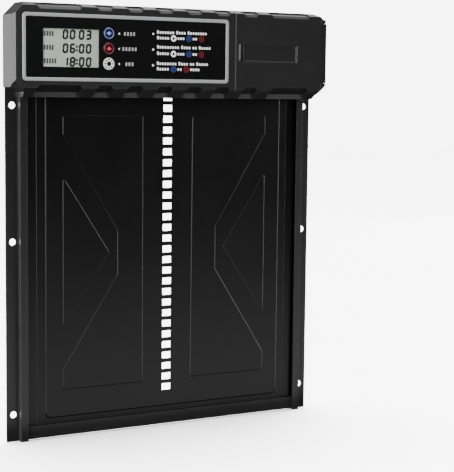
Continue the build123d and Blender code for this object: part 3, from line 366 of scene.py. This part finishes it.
LABEL_INK = ink("lcd_label", (0.030, 0.034, 0.030), 0.3)


DRAWN = (1, 6, 0.15)                 # stretches the grain of drawn metal into lines


def dress_cad_nodes():
    """Gives every node that is carried over from the CAD its material."""
    dressed = {
        powder_coat("frame_coat", 0.022): ["left_rail", "right_rail", "bottom_sill"],
        powder_coat("door_coat", 0.0022): ["door_panel"],
        moulded_black("moulded_black", 0.0105): ["front_housing", "battery_cover"],
        # The latch is the box's black plastic, given a lighter grey as a painted highlight on its tab.
        moulded_black("latch_painted_highlight", 0.060): ["cover_latch"],
        moulded_black("moulded_inside", 0.010): ["rear_cover", "battery_tray"],
        silver_paint(): ["display_bezel"],
        display_glass(): ["lcd_glass"],
        key_plastic("white_holder", (0.72, 0.72, 0.70)): ["lcd_holder"],
        solder_mask(): ["circuit_board"],
        moulded_black("component_black", 0.012): ["tact_switches", "board_components"],
        nylon(): ["drive_pinion", "output_gear", "compound_gear"],
        metal("drawn_steel", (0.55, 0.55, 0.56), DRAWN):
            ["pinion_shaft", "gear_axle", "motor_shaft", "hinge_pin", "drive_motor"],
        metal("zinc_plate", (0.62, 0.62, 0.60)):
            ["gear_bracket", "contact_plates", "contact_springs", "bracket_screws", "board_screws"],
        metal("blackened_steel", (0.045, 0.045, 0.048)): ["frame_screws", "box_screws"],
        metal("machined_brass", (0.62, 0.44, 0.17)): ["motor_gear", "shaft_bushes", "motor_gearbox"],
    }
    for material, names in dressed.items():
        for name in names:
            put_on(name, material)
    for place, name in enumerate(CELLS):
        put_on(name, cell_sleeve(name, place % 2 == 0))


def put_on(node, material):
    """Makes the material the CAD node's only one."""
    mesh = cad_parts[node].data
    mesh.materials.clear()
    mesh.materials.append(material)


# ---- mesh helpers -------------------------------------------------------------------------------
def piece(name, bm, material, body):
    """Turns a bmesh into a piece of the object that rides on a CAD body."""
    mesh = bpy.data.meshes.new(name)
    bmesh.ops.recalc_face_normals(bm, faces=bm.faces)
    bm.to_mesh(mesh)
    bm.free()
    mesh.materials.append(material)
    obj = bpy.data.objects.new(name, mesh)
    bpy.context.scene.collection.objects.link(obj)
    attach(obj, body)
    return obj


def join_rings(bm, rings, closed=False):
    """Faces between neighbouring rings of vertices, each ring with the same count."""
    pairs = list(zip(rings, rings[1:]))
    if closed:
        pairs.append((rings[-1], rings[0]))
    for one, other in pairs:
        for i in range(len(one)):
            j = (i + 1) % len(one)
            bm.faces.new((one[i], one[j], other[j], other[i]))


def add_plate(bm, outline, back, front):
    """A flat plate in the XZ plane between two Y values."""
    rings = [[bm.verts.new((x, y, z)) for x, z in outline] for y in (back, front)]
    join_rings(bm, rings)
    bm.faces.new(rings[0])
    bm.faces.new(rings[1])


def add_turned(bm, x, z, profile, steps=48, closed=False):
    """A shape turned about a Y axis through (x, z); an open profile starts and ends as a flat disc."""
    rings = [[bm.verts.new((place[0], y, place[1])) for place in circle(x, z, radius, steps)]
             for radius, y in profile]
    join_rings(bm, rings, closed)
    if not closed:
        bm.faces.new(rings[0])
        bm.faces.new(rings[-1])


def rounded(x, z, width, height, radius, steps=4):
    """A rounded rectangle about (x, z), counter-clockwise."""
    points = []
    for side_x, side_z, start in ((1, -1, -90), (1, 1, 0), (-1, 1, 90), (-1, -1, 180)):
        centre_x = x + side_x * (width / 2 - radius)
        centre_z = z + side_z * (height / 2 - radius)
        for step in range(steps + 1):
            angle = math.radians(start + 90 * step / steps)
            points.append((centre_x + radius * math.cos(angle), centre_z + radius * math.sin(angle)))
    return points


def circle(x, z, radius, steps=40):
    """A circle about (x, z), counter-clockwise."""
    turns = [2 * math.pi * step / steps for step in range(steps)]
    return [(x + radius * math.cos(turn), z + radius * math.sin(turn)) for turn in turns]


def cut_away(obj, cutter_mesh):
    """Cuts a mesh out of a piece and leaves the piece with plain geometry."""
    cutter = bpy.data.objects.new("cutter", cutter_mesh)
    bpy.context.scene.collection.objects.link(cutter)
    modifier = obj.modifiers.new("cut", "BOOLEAN")
    modifier.operation = "DIFFERENCE"
    modifier.solver = "EXACT"
    modifier.object = cutter
    depsgraph = bpy.context.evaluated_depsgraph_get()
    uncut = obj.data
    obj.data = bpy.data.meshes.new_from_object(obj.evaluated_get(depsgraph))
    obj.modifiers.clear()
    bpy.data.meshes.remove(uncut)
    bpy.data.objects.remove(cutter)


# ---- panel overlay with its windows ---------------------------------------------------------------
PANEL_CORNER = 1.35 * MM
WINDOW_CORNER = 0.6 * MM
CUT_BEYOND = 2 * MM                  # how far the cutters reach past both faces of the overlay


def make_overlay():
    """The glossy overlay, open over the display and round the three keys."""
    bm = bmesh.new()
    edge = rounded(PANEL.middle.x, PANEL.middle.z, PANEL.size.x, PANEL.size.z, PANEL_CORNER)
    add_plate(bm, edge, PANEL.high.y, PANEL_FRONT)
    overlay = piece("panel_overlay", bm, GLOSS, "frame")
    window_width = LCD.size.x - 2 * LCD_LIP
    window_height = LCD.size.z - 2 * LCD_LIP
    openings = [rounded(LCD.middle.x, LCD.middle.z, window_width, window_height, WINDOW_CORNER)]
    openings += [circle(key.middle.x, key.middle.z, KEY_HOLE_RADIUS) for key in KEYS.values()]
    bm = bmesh.new()
    for opening in openings:
        add_plate(bm, opening, PANEL.high.y + CUT_BEYOND, PANEL_FRONT - CUT_BEYOND)
    bmesh.ops.recalc_face_normals(bm, faces=bm.faces)
    cutter_mesh = bpy.data.meshes.new("cutter")
    bm.to_mesh(cutter_mesh)
    bm.free()
    cut_away(overlay, cutter_mesh)
    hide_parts("display_window")


# ---- panel print: plain blocks stand for the words --------------------------------------------------
# Places and sizes on the panel are in mm, and places count from its top left corner.
TEXT_START = 123.7
TITLE_ROWS = (10.3, 23.3, 37.9)                      # middle of each instruction's first line
TITLE_WORDS = ((7, 4, 8), (9, 4, 2, 5), (8, 4, 2, 5))    # letters in each word
DETAIL_ROWS = (15.2, 29.0, 42.7)                     # middle of each second line
DETAIL_ITEMS = (                                     # words by their letters, and small key pictures
    (5, "white", 3, "blue", 2, "red"),
    (5, "white", 3, "blue", 2, "red"),
    (5, "blue", 2, "red", 4),
)
UNCAPPED_WORD = 2                                    # a word this short starts without a capital
LETTER_PITCH = 2.52
LETTER_WIDTH = 1.75
LETTER_HEIGHT = 2.15
CAPITAL_HEIGHT = 2.85
LETTER_CORNER = 0.35
TITLE_GAP = 1.5                                      # between two words
DETAIL_GAP = 0.75
ICON_WIDTH = 6.4
ICON_RADIUS = 0.44 * ICON_WIDTH * MM                 # this one in metres
ICON_DOT = 0.40                                      # of the icon's radius, as the next three are
ICON_RIM_OUTER = 0.95
ICON_RIM_INNER = 0.78
ICON_ARROW = 0.60
BULLET_X = 119.9
BULLET_ROWS = (11.7, 25.6, 39.5)
BULLET_RADIUS = 0.95
POINTER_X = 86.5
POINTER_BACK = 0.9
POINTER_TIP = 1.0
POINTER_HALF_HEIGHT = 1.1
LABEL_X = 96.7                                       # middle of the keys' labels
LABEL_PITCH = 3.0
LABEL_HEIGHT = 3.2
LABEL_LETTERS = {"open": 4, "close": 5, "set": 3}

ARROW_SHAFT = 0.26                                   # half widths and heights of an arrow of size 1
ARROW_HEAD = 0.76
ARROW_FOOT = -0.40
ARROW_SHOULDER = -0.06
ARROW_TIP = 0.50


def on_panel(from_left, from_top):
    """A point of the panel's face, given in mm from its top left corner."""
    return PANEL.low.x + from_left * MM, PANEL.high.z - from_top * MM


def add_ink(bm, outline):
    """A layer of ink on the panel's face."""
    add_plate(bm, outline, PANEL_FRONT, PANEL_FRONT - INK_THICKNESS)


def add_block(bm, from_left, base, width, height):
    """One printed block that stands for a letter, on its base line."""
    x, z = on_panel(from_left + width / 2, base - height / 2)
    add_ink(bm, rounded(x, z, width * MM, height * MM, LETTER_CORNER * MM, 2))


def add_word(bm, start, base, letters, capital):
    """A word of blocks, the first one taller where a capital would be; returns where the word ends."""
    for letter in range(letters):
        height = CAPITAL_HEIGHT if capital and letter == 0 else LETTER_HEIGHT
        add_block(bm, start + letter * LETTER_PITCH, base, LETTER_WIDTH, height)
    return start + letters * LETTER_PITCH


def up_arrow(x, z, size):
    """A plain arrow with a wide head, counter-clockwise."""
    corners = (
        (-ARROW_SHAFT, ARROW_FOOT), (ARROW_SHAFT, ARROW_FOOT), (ARROW_SHAFT, ARROW_SHOULDER),
        (ARROW_HEAD, ARROW_SHOULDER), (0, ARROW_TIP), (-ARROW_HEAD, ARROW_SHOULDER),
        (-ARROW_SHAFT, ARROW_SHOULDER),
    )
    return [(x + a * size, z + b * size) for a, b in corners]


def down_arrow(x, z, size):
    """The same arrow turned half round."""
    return up_arrow(x, z, -size)


def add_icon(inks, kind, start, base):
    """A small round picture of a key, in up to two inks."""
    x, z = on_panel(start + ICON_WIDTH / 2, base - LETTER_HEIGHT / 2)
    front = PANEL_FRONT - INK_THICKNESS
    second_front = front - INK_THICKNESS
    add_ink(inks[kind], circle(x, z, ICON_RADIUS))
    if kind == "white":
        add_plate(inks["black"], circle(x, z, ICON_DOT * ICON_RADIUS), front, second_front)
        return
    pale = inks["pale_" + kind]
    outer = ICON_RIM_OUTER * ICON_RADIUS
    inner = ICON_RIM_INNER * ICON_RADIUS
    rim = [(outer, front), (outer, second_front), (inner, second_front), (inner, front)]
    add_turned(pale, x, z, rim, 32, closed=True)
    arrow = up_arrow if kind == "blue" else down_arrow
    add_plate(pale, arrow(x, z, ICON_ARROW * ICON_RADIUS), front, second_front)


def add_instruction(inks, row):
    """A bullet, a title line of words, and a line of words and small key pictures under it."""
    x, z = on_panel(BULLET_X, BULLET_ROWS[row])
    add_ink(inks["white"], circle(x, z, BULLET_RADIUS * MM, 20))
    place = TEXT_START
    base = TITLE_ROWS[row] + LETTER_HEIGHT / 2
    for letters in TITLE_WORDS[row]:
        place = add_word(inks["white"], place, base, letters, letters != UNCAPPED_WORD) + TITLE_GAP
    place = TEXT_START
    base = DETAIL_ROWS[row] + LETTER_HEIGHT / 2
    for number, item in enumerate(DETAIL_ITEMS[row]):
        if isinstance(item, int):
            place = add_word(inks["white"], place, base, item, number == 0) + DETAIL_GAP
        else:
            add_icon(inks, item, place, base)
            place += ICON_WIDTH + DETAIL_GAP


def add_key_label(pointers, labels, name):
    """A pointer beside a key and the blocks of its label."""
    from_top = (PANEL.high.z - KEYS[name].middle.z) / MM
    x, z = on_panel(POINTER_X, from_top)
    back = x + POINTER_BACK * MM
    low = z - POINTER_HALF_HEIGHT * MM
    high = z + POINTER_HALF_HEIGHT * MM
    add_ink(pointers, [(x - POINTER_TIP * MM, z), (back, low), (back, high)])
    letters = LABEL_LETTERS[name]
    start = LABEL_X - LABEL_PITCH * letters / 2 + (LABEL_PITCH - LETTER_WIDTH) / 2
    base = from_top + LABEL_HEIGHT / 2
    for letter in range(letters):
        add_block(labels, start + LABEL_PITCH * letter, base, LETTER_WIDTH, LABEL_HEIGHT)


def make_print():
    """The instructions, with bullets and small key pictures, and the keys' labels."""
    inks = {name: bmesh.new() for name in ("white", "black", "blue", "red", "pale_blue", "pale_red")}
    labels = bmesh.new()
    for row in range(3):
        add_instruction(inks, row)
    for name in KEYS:
        add_key_label(inks["white"], labels, name)
    piece("panel_print", inks["white"], WHITE_INK, "frame")
    piece("panel_key_labels", labels, GREY_INK, "frame")
    piece("panel_icon_centres", inks["black"], GLOSS, "frame")
    piece("panel_icons_blue", inks["blue"], BLUE_INK, "frame")
    piece("panel_icons_red", inks["red"], RED_INK, "frame")
    piece("panel_icon_rims_blue", inks["pale_blue"], ICON_BLUE_INK, "frame")
    piece("panel_icon_rims_red", inks["pale_red"], ICON_RED_INK, "frame")


# ---- display ------------------------------------------------------------------------------------------
SEGMENTS = {"0": "abcdef", "1": "bc", "3": "abgcd", "6": "afgedc", "8": "abcdefg"}
DIGIT_WIDTH = 5.4 * MM
DIGIT_HEIGHT = 8.6 * MM
DIGIT_STROKE = 1.85 * MM
DIGIT_SLANT = 0.075
SEGMENT_GAP = 0.08 * MM
DIGIT_COLUMNS = (0.408, 0.530, 0.687, 0.809)         # of the display's width, from its left edge
COLON_COLUMN = 0.604
COLON_RISE = 1.5 * MM                                # each dot's distance from the middle of the line
DOT_CORNER = 0.3 * MM
DIGIT_ROWS = (0.175, 0.513, 0.84)                    # of the display's height, from its top
READINGS = ("0003", "0600", "1800")
READINGS_WITH_COLON = (False, True, True)
READING_LABELS = (4, 4, 5)                           # blocks in each reading's label
READING_LABEL_START = 2.9 * MM
READING_LABEL_PITCH = 2.45 * MM
READING_LABEL_WIDTH = 1.6 * MM
READING_LABEL_HEIGHT = 4.4 * MM
READING_LABEL_RISE = 0.4 * MM


def add_on_glass(bm, outline):
    """A thin dark shape on the front of the glass."""
    add_plate(bm, outline, LCD.low.y, LCD.low.y - INK_THICKNESS)


def segment(length, upright):
    """One mitred bar of a seven-segment digit, about the origin."""
    half = DIGIT_STROKE / 2
    tip = length / 2
    corner = tip - half
    bar = [(-tip, 0), (-corner, -half), (corner, -half), (tip, 0), (corner, half), (-corner, half)]
    return [(-b, a) for a, b in bar] if upright else bar


def add_digit(bm, character, x, z):
    """A slanted seven-segment digit centred on (x, z)."""
    across = (DIGIT_WIDTH - DIGIT_STROKE) / 2
    up = (DIGIT_HEIGHT - DIGIT_STROKE) / 2
    places = {
        "a": (0, up, False), "g": (0, 0, False), "d": (0, -up, False),
        "f": (-across, up / 2, True), "b": (across, up / 2, True),
        "e": (-across, -up / 2, True), "c": (across, -up / 2, True),
    }
    for name in SEGMENTS[character]:
        centre_x, centre_z, upright = places[name]
        length = (up if upright else 2 * across) + DIGIT_STROKE / 2 - 2 * SEGMENT_GAP
        points = [(centre_x + a, centre_z + b) for a, b in segment(length, upright)]
        add_on_glass(bm, [(x + a + DIGIT_SLANT * b, z + b) for a, b in points])


def add_colon(bm, z):
    """Two square dots between the hours and the minutes."""
    x = LCD.low.x + LCD.size.x * COLON_COLUMN
    for step in (-1, 1):
        add_on_glass(bm, rounded(x, z + step * COLON_RISE, DIGIT_STROKE, DIGIT_STROKE, DOT_CORNER, 2))


def add_reading_label(bm, letters, z):
    """A row of small blocks that stands for a reading's label."""
    middle_z = z + READING_LABEL_RISE
    for letter in range(letters):
        x = LCD.low.x + READING_LABEL_START + READING_LABEL_PITCH * letter
        block = rounded(x, middle_z, READING_LABEL_WIDTH, READING_LABEL_HEIGHT, DOT_CORNER, 2)
        add_on_glass(bm, block)


def make_display():
    """Three readings on the glass, each with its label."""
    digits = bmesh.new()
    labels = bmesh.new()
    for row, reading in enumerate(READINGS):
        z = LCD.high.z - LCD.size.z * DIGIT_ROWS[row]
        for column, character in zip(DIGIT_COLUMNS, reading):
            add_digit(digits, character, LCD.low.x + LCD.size.x * column, z)
        if READINGS_WITH_COLON[row]:
            add_colon(digits, z)
        add_reading_label(labels, READING_LABELS[row], z)
    piece("lcd_digits", digits, SEGMENT_INK, "frame")
    piece("lcd_labels", labels, LABEL_INK, "frame")


# ---- keys ---------------------------------------------------------------------------------------------
KEY_DISH = 0.25 * MM                 # how far the face lies behind the key's front
KEY_SEAT = 0.1 * MM                  # how far the ring's seat lies behind the face
KEY_STEP = 0.05 * MM                 # how far the rim lies behind the ring
KEY_CHAMFER = 0.35 * MM
KEY_HUB = 0.02                       # of the key's radius, as the next six are
ARROW_KEY_RING = 0.78                # where the ring starts on the blue and the red key
SET_KEY_RING = 0.86
FACE_TO_RING = 0.04                  # how far inside the ring the face ends
SEAT_TO_RING = 0.02                  # how far inside the ring its seat starts
RIM_INNER = 0.98
RING_OUTER = 0.97
RING_SLOPE_WIDTH = 0.2 * MM
RING_SLOPE_HEIGHT = 0.15 * MM
SYMBOL_SIZE = 0.70 * KEY_RADIUS
DOT_RADIUS = 0.40 * KEY_RADIUS
TICKS = 8
TICK_HALF_WIDTH = 0.62 * MM
TICK_START = 0.55 * KEY_RADIUS
TICK_END = 0.80 * KEY_RADIUS


def make_key(name, cap_material, ring_material, ring_start):
    """A turned cap with a dished face and a bevelled ring; returns where a symbol goes on the face."""
    key = KEYS[name]
    x = key.middle.x
    z = key.middle.z
    front = key.low.y
    back = key.high.y
    face = front + KEY_DISH
    seat = face + KEY_SEAT
    flange_front = back - KEY_FLANGE_THICKNESS
    hub = KEY_HUB * KEY_RADIUS
    rim_inner = RIM_INNER * KEY_RADIUS - KEY_CHAMFER
    bm = bmesh.new()
    add_turned(bm, x, z, [
        (hub, face),
        ((ring_start - FACE_TO_RING) * KEY_RADIUS, face),
        ((ring_start - SEAT_TO_RING) * KEY_RADIUS, seat),
        (rim_inner, seat),
        (rim_inner, front + KEY_STEP),
        (KEY_RADIUS - KEY_CHAMFER, front + KEY_STEP),
        (KEY_RADIUS, front + KEY_CHAMFER),
        (KEY_RADIUS, flange_front),
        (KEY_RADIUS + KEY_FLANGE, flange_front),
        (KEY_RADIUS + KEY_FLANGE, back),
        (hub, back),
    ])
    cap = piece(f"{name}_key_cap", bm, cap_material, f"{name}_key")
    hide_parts(f"{name}_button")
    inner = ring_start * KEY_RADIUS
    outer = RING_OUTER * KEY_RADIUS - KEY_CHAMFER
    bm = bmesh.new()
    add_turned(bm, x, z, [
        (inner, seat),
        (inner, front + RING_SLOPE_HEIGHT),
        (inner + RING_SLOPE_WIDTH, front),
        (outer - RING_SLOPE_WIDTH, front),
        (outer, front + RING_SLOPE_HEIGHT),
        (outer, seat),
    ], closed=True)
    piece(f"{name}_key_ring", bm, ring_material, f"{name}_key")
    return x, z, face


def make_arrow_key(name, arrow, materials):
    """A key with an arrow on its face, in three materials: cap, ring and arrow."""
    cap, ring, symbol_ink = materials
    x, z, face = make_key(name, cap, ring, ARROW_KEY_RING)
    bm = bmesh.new()
    add_plate(bm, arrow(x, z, SYMBOL_SIZE), face, face - INK_THICKNESS)
    piece(f"{name}_key_symbol", bm, symbol_ink, f"{name}_key")


def make_keys():
    """The three keys: blue with an up arrow, red with a down arrow, white with a dot and a ring of ticks."""
    make_arrow_key("open", up_arrow, (KEY_BLUE, RING_BLUE, PALE_BLUE_INK))
    make_arrow_key("close", down_arrow, (KEY_RED, RING_RED, PALE_RED_INK))
    x, z, face = make_key("set", KEY_WHITE, KEY_WHITE, SET_KEY_RING)
    bm = bmesh.new()
    add_plate(bm, circle(x, z, DOT_RADIUS), face, face - INK_THICKNESS)
    for tick in range(TICKS):
        turn = 2 * math.pi * tick / TICKS
        out = Vector((math.cos(turn), math.sin(turn)))
        side = Vector((-out.y, out.x)) * TICK_HALF_WIDTH
        near = Vector((x, z)) + out * TICK_START
        far = Vector((x, z)) + out * TICK_END
        add_plate(bm, [near - side, far - side, far + side, near + side], face, face - INK_THICKNESS)
    piece("set_key_symbol", bm, GLOSS, "set_key")


# ---- stage, light and camera --------------------------------------------------------------------------
PAPER_GLOW = 7.0                     # bright enough to come out white
PAPER_GREY = 0.9
STUDIO_RADIUS = 7.0
DOME_RADIUS = 0.99 * STUDIO_RADIUS
FLOOR_DROP = 0.2 * MM                # below the object's lowest point
FLOOR_LIGHT_SPREAD = 50              # degrees, as the next two are
FLOOR_LIGHT_FORWARD = -12
FLOOR_LIGHT_SIDEWAYS = 8
WORLD_LEVEL = 0.03                   # the world's strength at eye level
WORLD_OVERHEAD = 0.5                 # and straight up
OBJECT_MIDDLE = (0, 0, 0.05)
LEFT_FRONT = (-2.4, -1.3, 0.3)
SHEET_METAL = ("left_rail", "right_rail", "bottom_sill", "door_panel")


def stage_object(name, bm, material):
    """A piece of the studio: only the camera sees it, so it throws no light on the object."""
    mesh = bpy.data.meshes.new(name)
    bm.to_mesh(mesh)
    bm.free()
    mesh.materials.append(material)
    obj = bpy.data.objects.new(name, mesh)
    bpy.context.scene.collection.objects.link(obj)
    obj.visible_diffuse = False
    obj.visible_glossy = False
    return obj


def make_stage():
    """A pale floor under a pale dome."""
    floor_z = cad_box[0][2] - FLOOR_DROP
    paper = Surface("floor_paper", (PAPER_GREY, PAPER_GREY, PAPER_GREY), 0.9)
    paper.tint(paper.noise(0.5, 2.0), (0.87, 0.87, 0.87), 0.5)
    bm = bmesh.new()
    bm.faces.new([bm.verts.new((x, y, floor_z)) for x, y in circle(0, 0, STUDIO_RADIUS, 64)])
    floor = stage_object("floor", bm, paper.finish())

    glow = bpy.data.materials.new("dome_paper")
    glow.use_nodes = True
    shader = glow.node_tree.nodes["Principled BSDF"]
    shader.inputs["Base Color"].default_value = (0, 0, 0, 1)
    shader.inputs["Emission Color"].default_value = (1, 1, 1, 1)
    shader.inputs["Emission Strength"].default_value = PAPER_GLOW
    glow.cycles.emission_sampling = "NONE"
    bm = bmesh.new()
    bmesh.ops.create_uvsphere(bm, u_segments=48, v_segments=24, radius=DOME_RADIUS)
    dome = stage_object("dome", bm, glow)
    dome.visible_shadow = False
    return floor


def softbox(name, place, size, power, target=OBJECT_MIDDLE):
    """A rectangular light that the camera doesn't see; its size is (width, height)."""
    data = bpy.data.lights.new(name, "AREA")
    data.shape = "RECTANGLE"
    data.size, data.size_y = size
    data.energy = power
    light = bpy.data.objects.new(name, data)
    light.location = place
    light.rotation_euler = (Vector(target) - Vector(place)).to_track_quat("-Z", "Y").to_euler()
    light.visible_camera = False
    bpy.context.scene.collection.objects.link(light)
    return light


def link_to_sheet_metal(light, state):
    """Makes a light fall only on the sheet metal (INCLUDE) or on everything else (EXCLUDE)."""
    receivers = bpy.data.collections.new(light.name + "_receivers")
    for name in SHEET_METAL:
        receivers.objects.link(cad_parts[name])
    for entry in receivers.collection_objects:
        entry.light_linking.link_state = state
    light.light_linking.receiver_collection = receivers


def make_floor_light(floor):
    """An even light from above that only the floor receives, so the object leaves a soft shadow on it."""
    data = bpy.data.lights.new("floor_wash", "SUN")
    data.energy = math.pi * PAPER_GLOW / PAPER_GREY
    data.angle = math.radians(FLOOR_LIGHT_SPREAD)
    light = bpy.data.objects.new("floor_wash", data)
    light.rotation_euler = (math.radians(FLOOR_LIGHT_FORWARD), math.radians(FLOOR_LIGHT_SIDEWAYS), 0)
    bpy.context.scene.collection.objects.link(light)
    receivers = bpy.data.collections.new("floor_only")
    receivers.objects.link(floor)
    light.light_linking.receiver_collection = receivers


def make_world():
    """Dim at eye level and below, brighter overhead."""
    world = bpy.data.worlds.new("studio")
    world.use_nodes = True
    nodes = world.node_tree.nodes
    links = world.node_tree.links
    direction = nodes.new("ShaderNodeTexCoord").outputs["Generated"]
    split = nodes.new("ShaderNodeSeparateXYZ")
    links.new(direction, split.inputs[0])
    strength = nodes.new("ShaderNodeMapRange")
    strength.inputs["To Min"].default_value = WORLD_LEVEL
    strength.inputs["To Max"].default_value = WORLD_OVERHEAD
    links.new(split.outputs["Z"], strength.inputs["Value"])
    links.new(strength.outputs["Result"], nodes["Background"].inputs["Strength"])
    nodes["Background"].inputs["Color"].default_value = (1, 1, 1, 1)
    bpy.context.scene.world = world


def make_lights():
    """Soft light from all round; the sheet metal and the box each have some light of their own."""
    softbox("left_back", (-1.5, 1.6, 0.2), (2.0, 2.0), 42)
    softbox("left", (-2.2, 0.30, 0.15), (1.0, 1.4), 110)
    softbox("left_front", LEFT_FRONT, (0.5, 1.6), 8)
    link_to_sheet_metal(softbox("left_gleam", LEFT_FRONT, (0.5, 1.6), 48), "INCLUDE")
    softbox("right_back", (2.0, 1.2, 0.2), (1.0, 1.6), 30)
    softbox("top_back", (1.1, 1.4, 1.45), (1.2, 1.0), 10)
    softbox("back_low", (0.35, 1.0, -0.04), (1.2, 0.22), 1.0, target=(-0.15, 0, 0.15))
    softbox("top", (0.2, -0.5, 2.4), (1.8, 1.2), 34)
    notch_card = softbox("notch_card", (0.25, -0.30, -0.150), (0.5, 0.16), 0.8, target=(0.25, -0.30, 1.0))
    link_to_sheet_metal(notch_card, "EXCLUDE")
    link_to_sheet_metal(softbox("front_fill", (-1.3, -1.9, 0.75), (1.0, 1.0), 76), "EXCLUDE")
    low_card = softbox("low_card", (0.20, -0.37, -0.155), (0.9, 0.68), 1.5, target=(0.20, -0.37, 1.0))
    link_to_sheet_metal(low_card, "INCLUDE")
    link_to_sheet_metal(softbox("right_front", (2.3, -0.85, 0.15), (0.4, 1.6), 36), "INCLUDE")


CAMERA_PLACE = Vector((-569.15, -1136.49, 151.19)) * MM
CAMERA_YAW = 0.510036                # radians
CAMERA_PITCH = 0.105141
CAMERA_ROLL = 0.0111514
CAMERA_LENS = 104.55                 # mm
CAMERA_SENSOR = 36.0                 # mm


def make_camera():
    """Looks from the front left and slightly down, with a touch of roll."""
    flat = math.cos(CAMERA_PITCH)
    forward = Vector((math.sin(CAMERA_YAW) * flat, math.cos(CAMERA_YAW) * flat, -math.sin(CAMERA_PITCH)))
    level = Vector((math.cos(CAMERA_YAW), -math.sin(CAMERA_YAW), 0))
    upright = level.cross(forward)
    right = math.cos(CAMERA_ROLL) * level + math.sin(CAMERA_ROLL) * upright
    up = -math.sin(CAMERA_ROLL) * level + math.cos(CAMERA_ROLL) * upright
    data = bpy.data.cameras.new("camera")
    data.sensor_width = CAMERA_SENSOR
    data.lens = CAMERA_LENS
    data.clip_start = 0.05
    camera = bpy.data.objects.new("camera", data)
    camera.matrix_world = Matrix((
        (right.x, up.x, -forward.x, CAMERA_PLACE.x),
        (right.y, up.y, -forward.y, CAMERA_PLACE.y),
        (right.z, up.z, -forward.z, CAMERA_PLACE.z),
        (0, 0, 0, 1),
    ))
    bpy.context.scene.collection.objects.link(camera)
    bpy.context.scene.camera = camera


dress_cad_nodes()
make_overlay()
make_print()
make_display()
make_keys()
make_floor_light(make_stage())
make_world()
make_lights()
make_camera()
